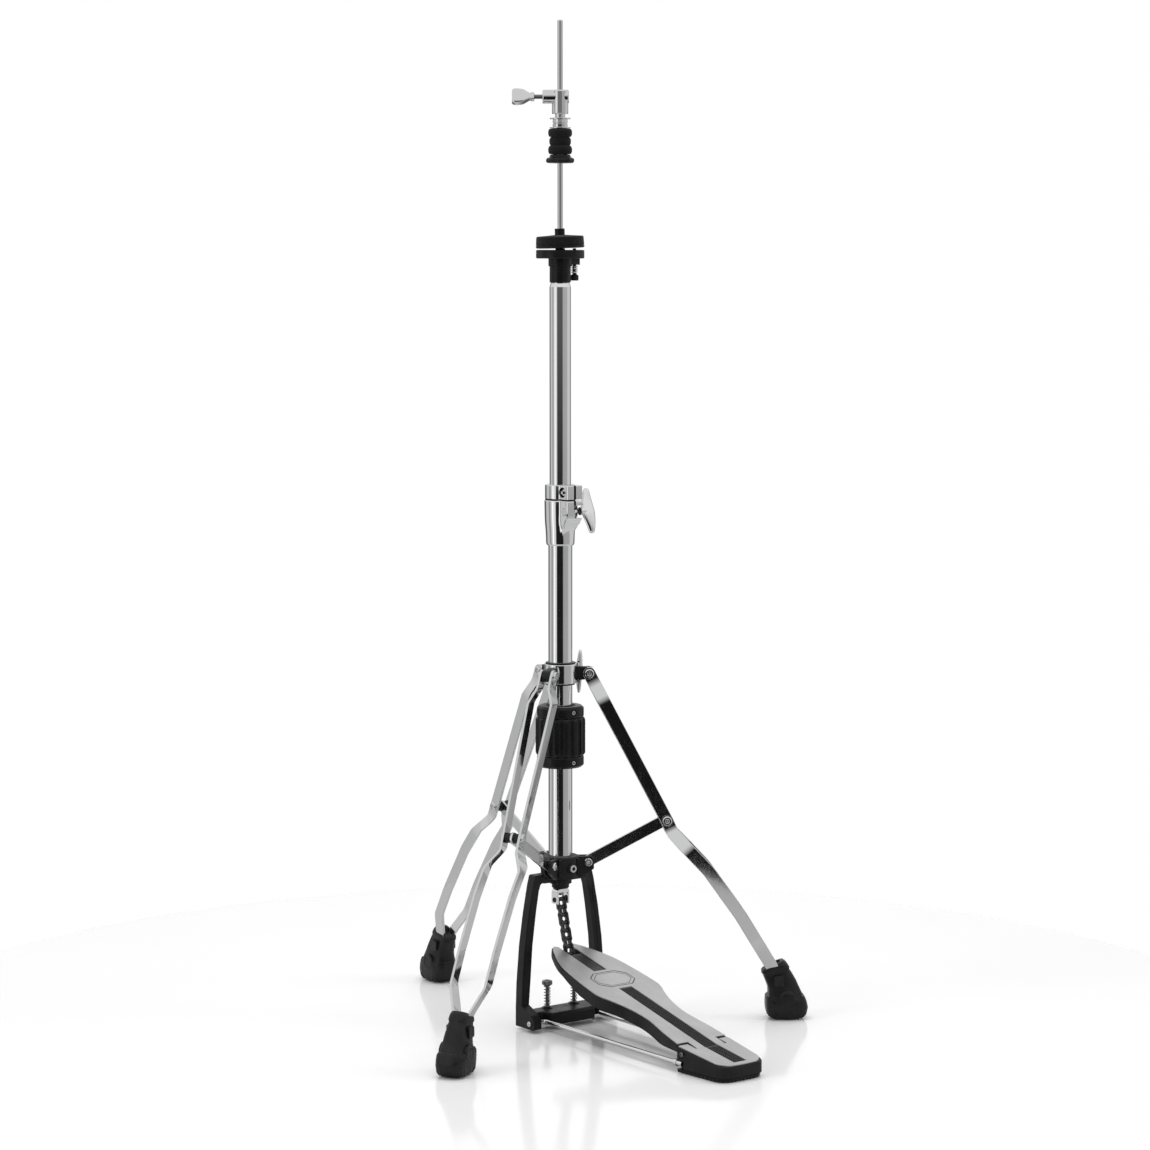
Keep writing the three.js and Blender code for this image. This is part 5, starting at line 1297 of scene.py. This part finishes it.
def seat():
    low = span("seat_stem")[0]
    tube_top = span("upper_tube")[1].z
    plate_top = SEAT_BASE - 2.3
    plate_low = SEAT_BASE - 12.4
    r, rim, hole = 12.5, 28.5, 3.6
    lathe(fillet([(hole, low.z, 0), (11, low.z, 0.5), (11, tube_top + GAP, 0),
        (r, tube_top + GAP, 0.5), (r, plate_low - 9.5, 0.3), (r + 1.4, plate_low - 8.6, 0.6),
        (r + 1.4, plate_low, 0.6), (rim - 1, plate_low, 0.8), (rim, plate_low + 1, 0.8),
        (rim, plate_low + 6.4, 0.4), (rim - 0.35, plate_low + 6.7, 0.2), (rim, plate_low + 7, 0.4),
        (rim, plate_top - 0.8, 0.8), (rim - 1.2, plate_top, 0.6), (5.7, plate_top, 0.3),
        (5.7, SEAT_BASE - 0.5, 0.3), (hole, SEAT_BASE - 0.5, 0)], 0.5, 4), 96)
    block = loop([(9, -6, 0.3), (25.8, -6, 2.4), (25.8, 6, 2.4), (9, 6, 0.3)], 1, 4)
    prism("z", block, plate_low - 7.4, plate_low + 0.4)
    finish("seat_stem", BLACK_GLOSS)

    head = span("tilt_screw")[0].z
    at = shift(21, 0, 0)
    lathe(fillet([(0, head, 0), (4.6, head, 0.6), (4.6, head + 6.4, 0.5),
        (3.2, head + 7.2, 0.4), (2.1, head + 8, 0.2), (2.1, SEAT_BASE - 0.4, 0.4),
        (0, SEAT_BASE - 0.4, 0)], 0.4, 3), 40, at)
    for k in range(20):
        prism("z", rounded_box(0.6, 0.8, 0.15, 1), head + 1, head + 5.6,
            at @ around(2 * pi * k / 20) @ shift(4.55, 0, 0))
    finish("tilt_screw", BLACK)
    tube(helix(3.6, head + 8.4, plate_low - 8, 4.5, 22), 0.6, 8, at)
    piece("tilt_spring", "upper_tube", CHROME_SMALL)

    tilt = shift(0, 0, SEAT_BASE) @ Matrix.Rotation(-SEAT_TILT, 4, "Y")
    top = 3 + GAP + 10.8
    lathe(loop([(4.9, 0), (27.6, 0, 0.6), (28.6, 1, 0.6), (28.6, 3, 0.4), (6.2, 3, 0.3),
        (5.9, top + 2, 0.6), (5.9, top + 8.6, 0.9), (4.9, top + 8.6, 0.3)], 0.5, 4), 96, tilt)
    finish("seat_cup", BLACK)
    lathe(loop([(6.4, 3.1, 0.3), (28.2, 3.1, 0.9), (28.4, 5, 1.5), (27.9, 12.4, 1.6),
        (27.2, 13.7, 1.2), (14, 14.6, 30), (7.4, 15.2, 1.2), (6.4, 14.4, 0.4)], 0.6, 5), 128, tilt)
    finish("seat_felt", FELT)


# ---- Clutch ----

KEY_LEAN = 24


def clutch():
    turn = shift(0, 0, CLUTCH_HEIGHT) @ around(CLUTCH_TURN)
    bore = ROD_RADIUS + 0.35
    sleeve = -20
    washers = sleeve - 4.5
    felts = washers - 12.4
    felt_low = felts - 30
    nut_low = felt_low - GAP - 9.9
    lathe(fillet([(bore, nut_low + 1, 0), (4.6, nut_low + 1, 0.5), (4.6, felts, 0.2),
        (7.4, felts, 0.3), (12.2, felts + 0.1, 0.4), (12.2, felts + 1.6, 0.4),
        (8.6, felts + 1.6, 0.2), (8.8, felts + 5.4, 0.5), (7.2, felts + 6.0, 0.3),
        (8.8, felts + 6.6, 0.5), (8.6, washers - 1.6, 0.2), (12.2, washers - 1.6, 0.4),
        (12.2, washers, 0.4), (6, washers, 0.3), (6, sleeve, 0.2), (9.0, sleeve, 0.5),
        (9.6, sleeve + 1, 0.5), (9.6, 0, 0), (9.6, 6.6, 1.2), (8.4, 8, 0.8), (bore + 0.4, 8, 0.3),
        (bore, 7.6, 0)], 0.4, 4), 80, turn)
    lathe(fillet([(0, -10.4, 0), (6.6, -10.4, 1), (8.2, -9.2, 0.8), (8.2, 19.4, 0.8),
        (7.4, 20.6, 0.6), (5, 20.6, 0.4), (4.6, 18, 0.4), (0, 18, 0)], 0.6, 4), 72, turn @ ALONG_X)
    finish("clutch_body", CHROME_CLUTCH)

    rings = []
    for along, tall, thick, corner in ((30, 3.2, 3.2, 1.6), (30.6, 4.4, 4.0, 1.4),
            (33.4, 4.6, 4.2, 1.4), (34.2, 3.9, 3.7, 1.3), (36, 4.0, 3.6, 1.3), (39, 5.6, 4.4, 1.4),
            (43, 8.0, 5.0, 1.8), (47, 8.9, 5.2, 2.2), (52, 9.3, 5.2, 2.4), (55, 8.9, 4.9, 2.6),
            (56.4, 7.6, 3.8, 2.4)):
        rings.append([(along, y, z) for y, z in rounded_box(2 * thick, 2 * tall, corner, 4)])
    loft(rings, matrix=turn @ Matrix.Rotation(radians(KEY_LEAN), 4, "X"))
    finish("clutch_screw", CHROME_CLUTCH, name="clutch_key_finish")
    tube([(ROD_RADIUS + GAP, 0, 0), (32, 0, 0)], BOLT_RADIUS, 24, turn)
    piece("clutch_key_shank", "clutch_screw", DARK_CHROME)

    third = 10
    profile = [(5.2, felt_low, 0.4), (9.5, felt_low, 2)]
    for k in range(3):
        base = felt_low + k * third
        full = 14 if k != 1 else 12.7
        profile += [(full - 1.2, base + 0.4, 1.6), (full, base + 3, 3), (full, base + 7, 3),
            (full - 1.2, base + 9.6, 1.6)]
        if k < 2:
            profile.append((full - 2.4, base + 10, 0.4))
    profile += [(9.5, felts - GAP, 2), (5.2, felts - GAP, 0.4)]
    lathe(loop(profile, 1, 5), 96, turn)
    finish("clutch_felts", FELT)

    rings = []
    high = felt_low - GAP
    for radius, z, lobe in ((13.5, nut_low, 0.2), (15.4, nut_low + 0.4, 0.8),
            (16.4, nut_low + 1.6, 1.2), (16.6, nut_low + 3.0, 1.3), (16.3, nut_low + 4.8, 1.2),
            (15.0, nut_low + 6.0, 0.9), (12.6, nut_low + 6.8, 0.4), (12.2, nut_low + 8.8, 0.3),
            (11.4, high - 0.1, 0.1)):
        rings.append(circle(1, z, 128, lambda a: radius - lobe * (0.5 - 0.5 * cos(8 * a))))
    rings += [circle(5.3, z, 128) for z in (high - 0.1, nut_low)]
    loft(rings, cap=False, wrap=True, matrix=turn)
    finish("clutch_nut", BLACK)


straight_tube("lower_tube", 0.6)
straight_tube("upper_tube", 5.0)
pull_rod()
clamp()
memory_lock()
wing_bolts()
housing()
legs()
collar()
hub()
uprights()
base_plate()
spurs()
rods()
heel()
footboard()
chain()
seat()
clutch()
for inner_node in ("spring_seat", "return_spring"):
    shown = frame["nodes"][inner_node]
    shown.data.materials.clear()
    shown.data.materials.append(DARK_STEEL[1])


# ---- Floor, light and camera ----

FLOOR_RADIUS = 0.86
FLOOR_DROP = 0.0005


def floor():
    bm = bmesh.new()
    bmesh.ops.create_circle(bm, cap_ends=True, segments=96, radius=FLOOR_RADIUS)
    mesh = bpy.data.meshes.new("studio_floor")
    bm.to_mesh(mesh)
    bm.free()
    look = Look("studio_floor", Roughness=0.12, Specular_IOR_Level=0.5)
    mirrored_ray = look.add("LightPath").outputs["Is Glossy Ray"]
    paint = look.ramp(look.noise(3, 2), [(0.3, 0.69), (0.7, 0.702)])
    # Seen by glossy rays the floor takes the darker 0.38: a painted darkening of its reflection in
    # the stand's glossy surfaces.
    look.feed("Base Color", look.mixed(paint, 0.38, mirrored_ray))
    mesh.materials.append(look.material)
    made = linked(bpy.data.objects.new("studio_floor", mesh))
    made.location.z = -FLOOR_DROP


CAMERA_TURN = -37                    # degrees the camera is turned about Z
TOWARDS_CAMERA = CAMERA_TURN - 90
BACKDROP_GAIN = 3.0                  # ramps hold colours up to 1, and one softbox is brighter
# Brightness of the studio by its bearing in degrees, where 0 lies behind the camera.
STUDIO = [(-180, 0.7), (-165, 0.3), (-152, 0.1), (-130, 0.14), (-122, 0.58), (-98, 0.64),
    (-91, 0.34), (-78, 0.34), (-70, 0.78), (-61, 0.82), (-58, 1.5), (-55, 1.5), (-52, 0.84),
    (-38, 0.84), (-31, 0.014), (24, 0.01), (29, 0.38), (76, 0.42), (88, 0.66), (122, 0.68),
    (130, 0.34), (152, 0.12), (165, 0.3), (180, 0.7)]
STUDIO_ABOVE = 0.84


def world():
    """White studio with a dark stretch of room behind the camera."""
    made = bpy.data.worlds.new("studio")
    bpy.context.scene.world = made
    graph = Graph(made)
    turn = graph.add("Mapping", graph.add("TexCoord").outputs["Generated"], vector_type="VECTOR")
    turn.inputs["Rotation"].default_value = (0, 0, radians(-TOWARDS_CAMERA))
    way = graph.add("SeparateXYZ", turn.outputs["Vector"]).outputs

    def sum_of(kind, a, b):
        return graph.add("Math", a, b, operation=kind).outputs[0]

    bearing = sum_of("ARCTAN2", way["Y"], way["X"])
    share = sum_of("ADD", sum_of("DIVIDE", bearing, 2 * pi), 0.5)
    around_it = graph.ramp(share, [(0.5 + degrees / 360, value / BACKDROP_GAIN)
        for degrees, value in STUDIO])
    height = graph.ramp(sum_of("ADD", sum_of("MULTIPLY", way["Z"], 0.5), 0.5),
        [(0.46, 0), (0.72, 1)])
    mirrored = graph.mixed(around_it, STUDIO_ABOVE / BACKDROP_GAIN, height)
    seen = graph.add("LightPath").outputs["Is Camera Ray"]
    shown = graph.mixed(mirrored, 1 / BACKDROP_GAIN, seen)
    back = graph.nodes["Background"]
    graph.links.new(shown, back.inputs["Color"])
    back.inputs["Strength"].default_value = BACKDROP_GAIN


def lamp(name, position, height, size, power):
    """A softbox that lights the object without showing in its plating."""
    data = bpy.data.lights.new(name, "AREA")
    data.shape = "RECTANGLE"
    data.size, data.size_y = size
    data.energy = power
    made = linked(bpy.data.objects.new(name, data))
    made.location = position
    way = Vector((0, 0, height)) - Vector(position)
    made.rotation_euler = way.to_track_quat("-Z", "Y").to_euler()
    made.visible_glossy = False


floor()
world()
lamp("overhead_softbox", (0.3, 0.4, 4.2), 0.3, (3.2, 3.2), 130)
lamp("left_softbox", (-3.4, 0.6, 1.8), 0.6, (1.0, 2.6), 45)
lamp("right_softbox", (2.6, -2.2, 2.0), 0.6, (0.8, 2.4), 30)

SENSOR_MM, LENS_MM = 36, 100.17
CAMERA_PLACE = Vector((-2263.7, -3033.0, 922.0))
CAMERA_TILT = 84.2527
camera_data = bpy.data.cameras.new("camera")
camera_data.sensor_width = SENSOR_MM
camera_data.lens = LENS_MM
camera = linked(bpy.data.objects.new("camera", camera_data))
camera.location = TO_FRAME @ CAMERA_PLACE
camera.rotation_euler = (radians(CAMERA_TILT), 0, radians(CAMERA_TURN))
bpy.context.scene.camera = camera
bpy.context.scene.view_settings.view_transform = "Standard"
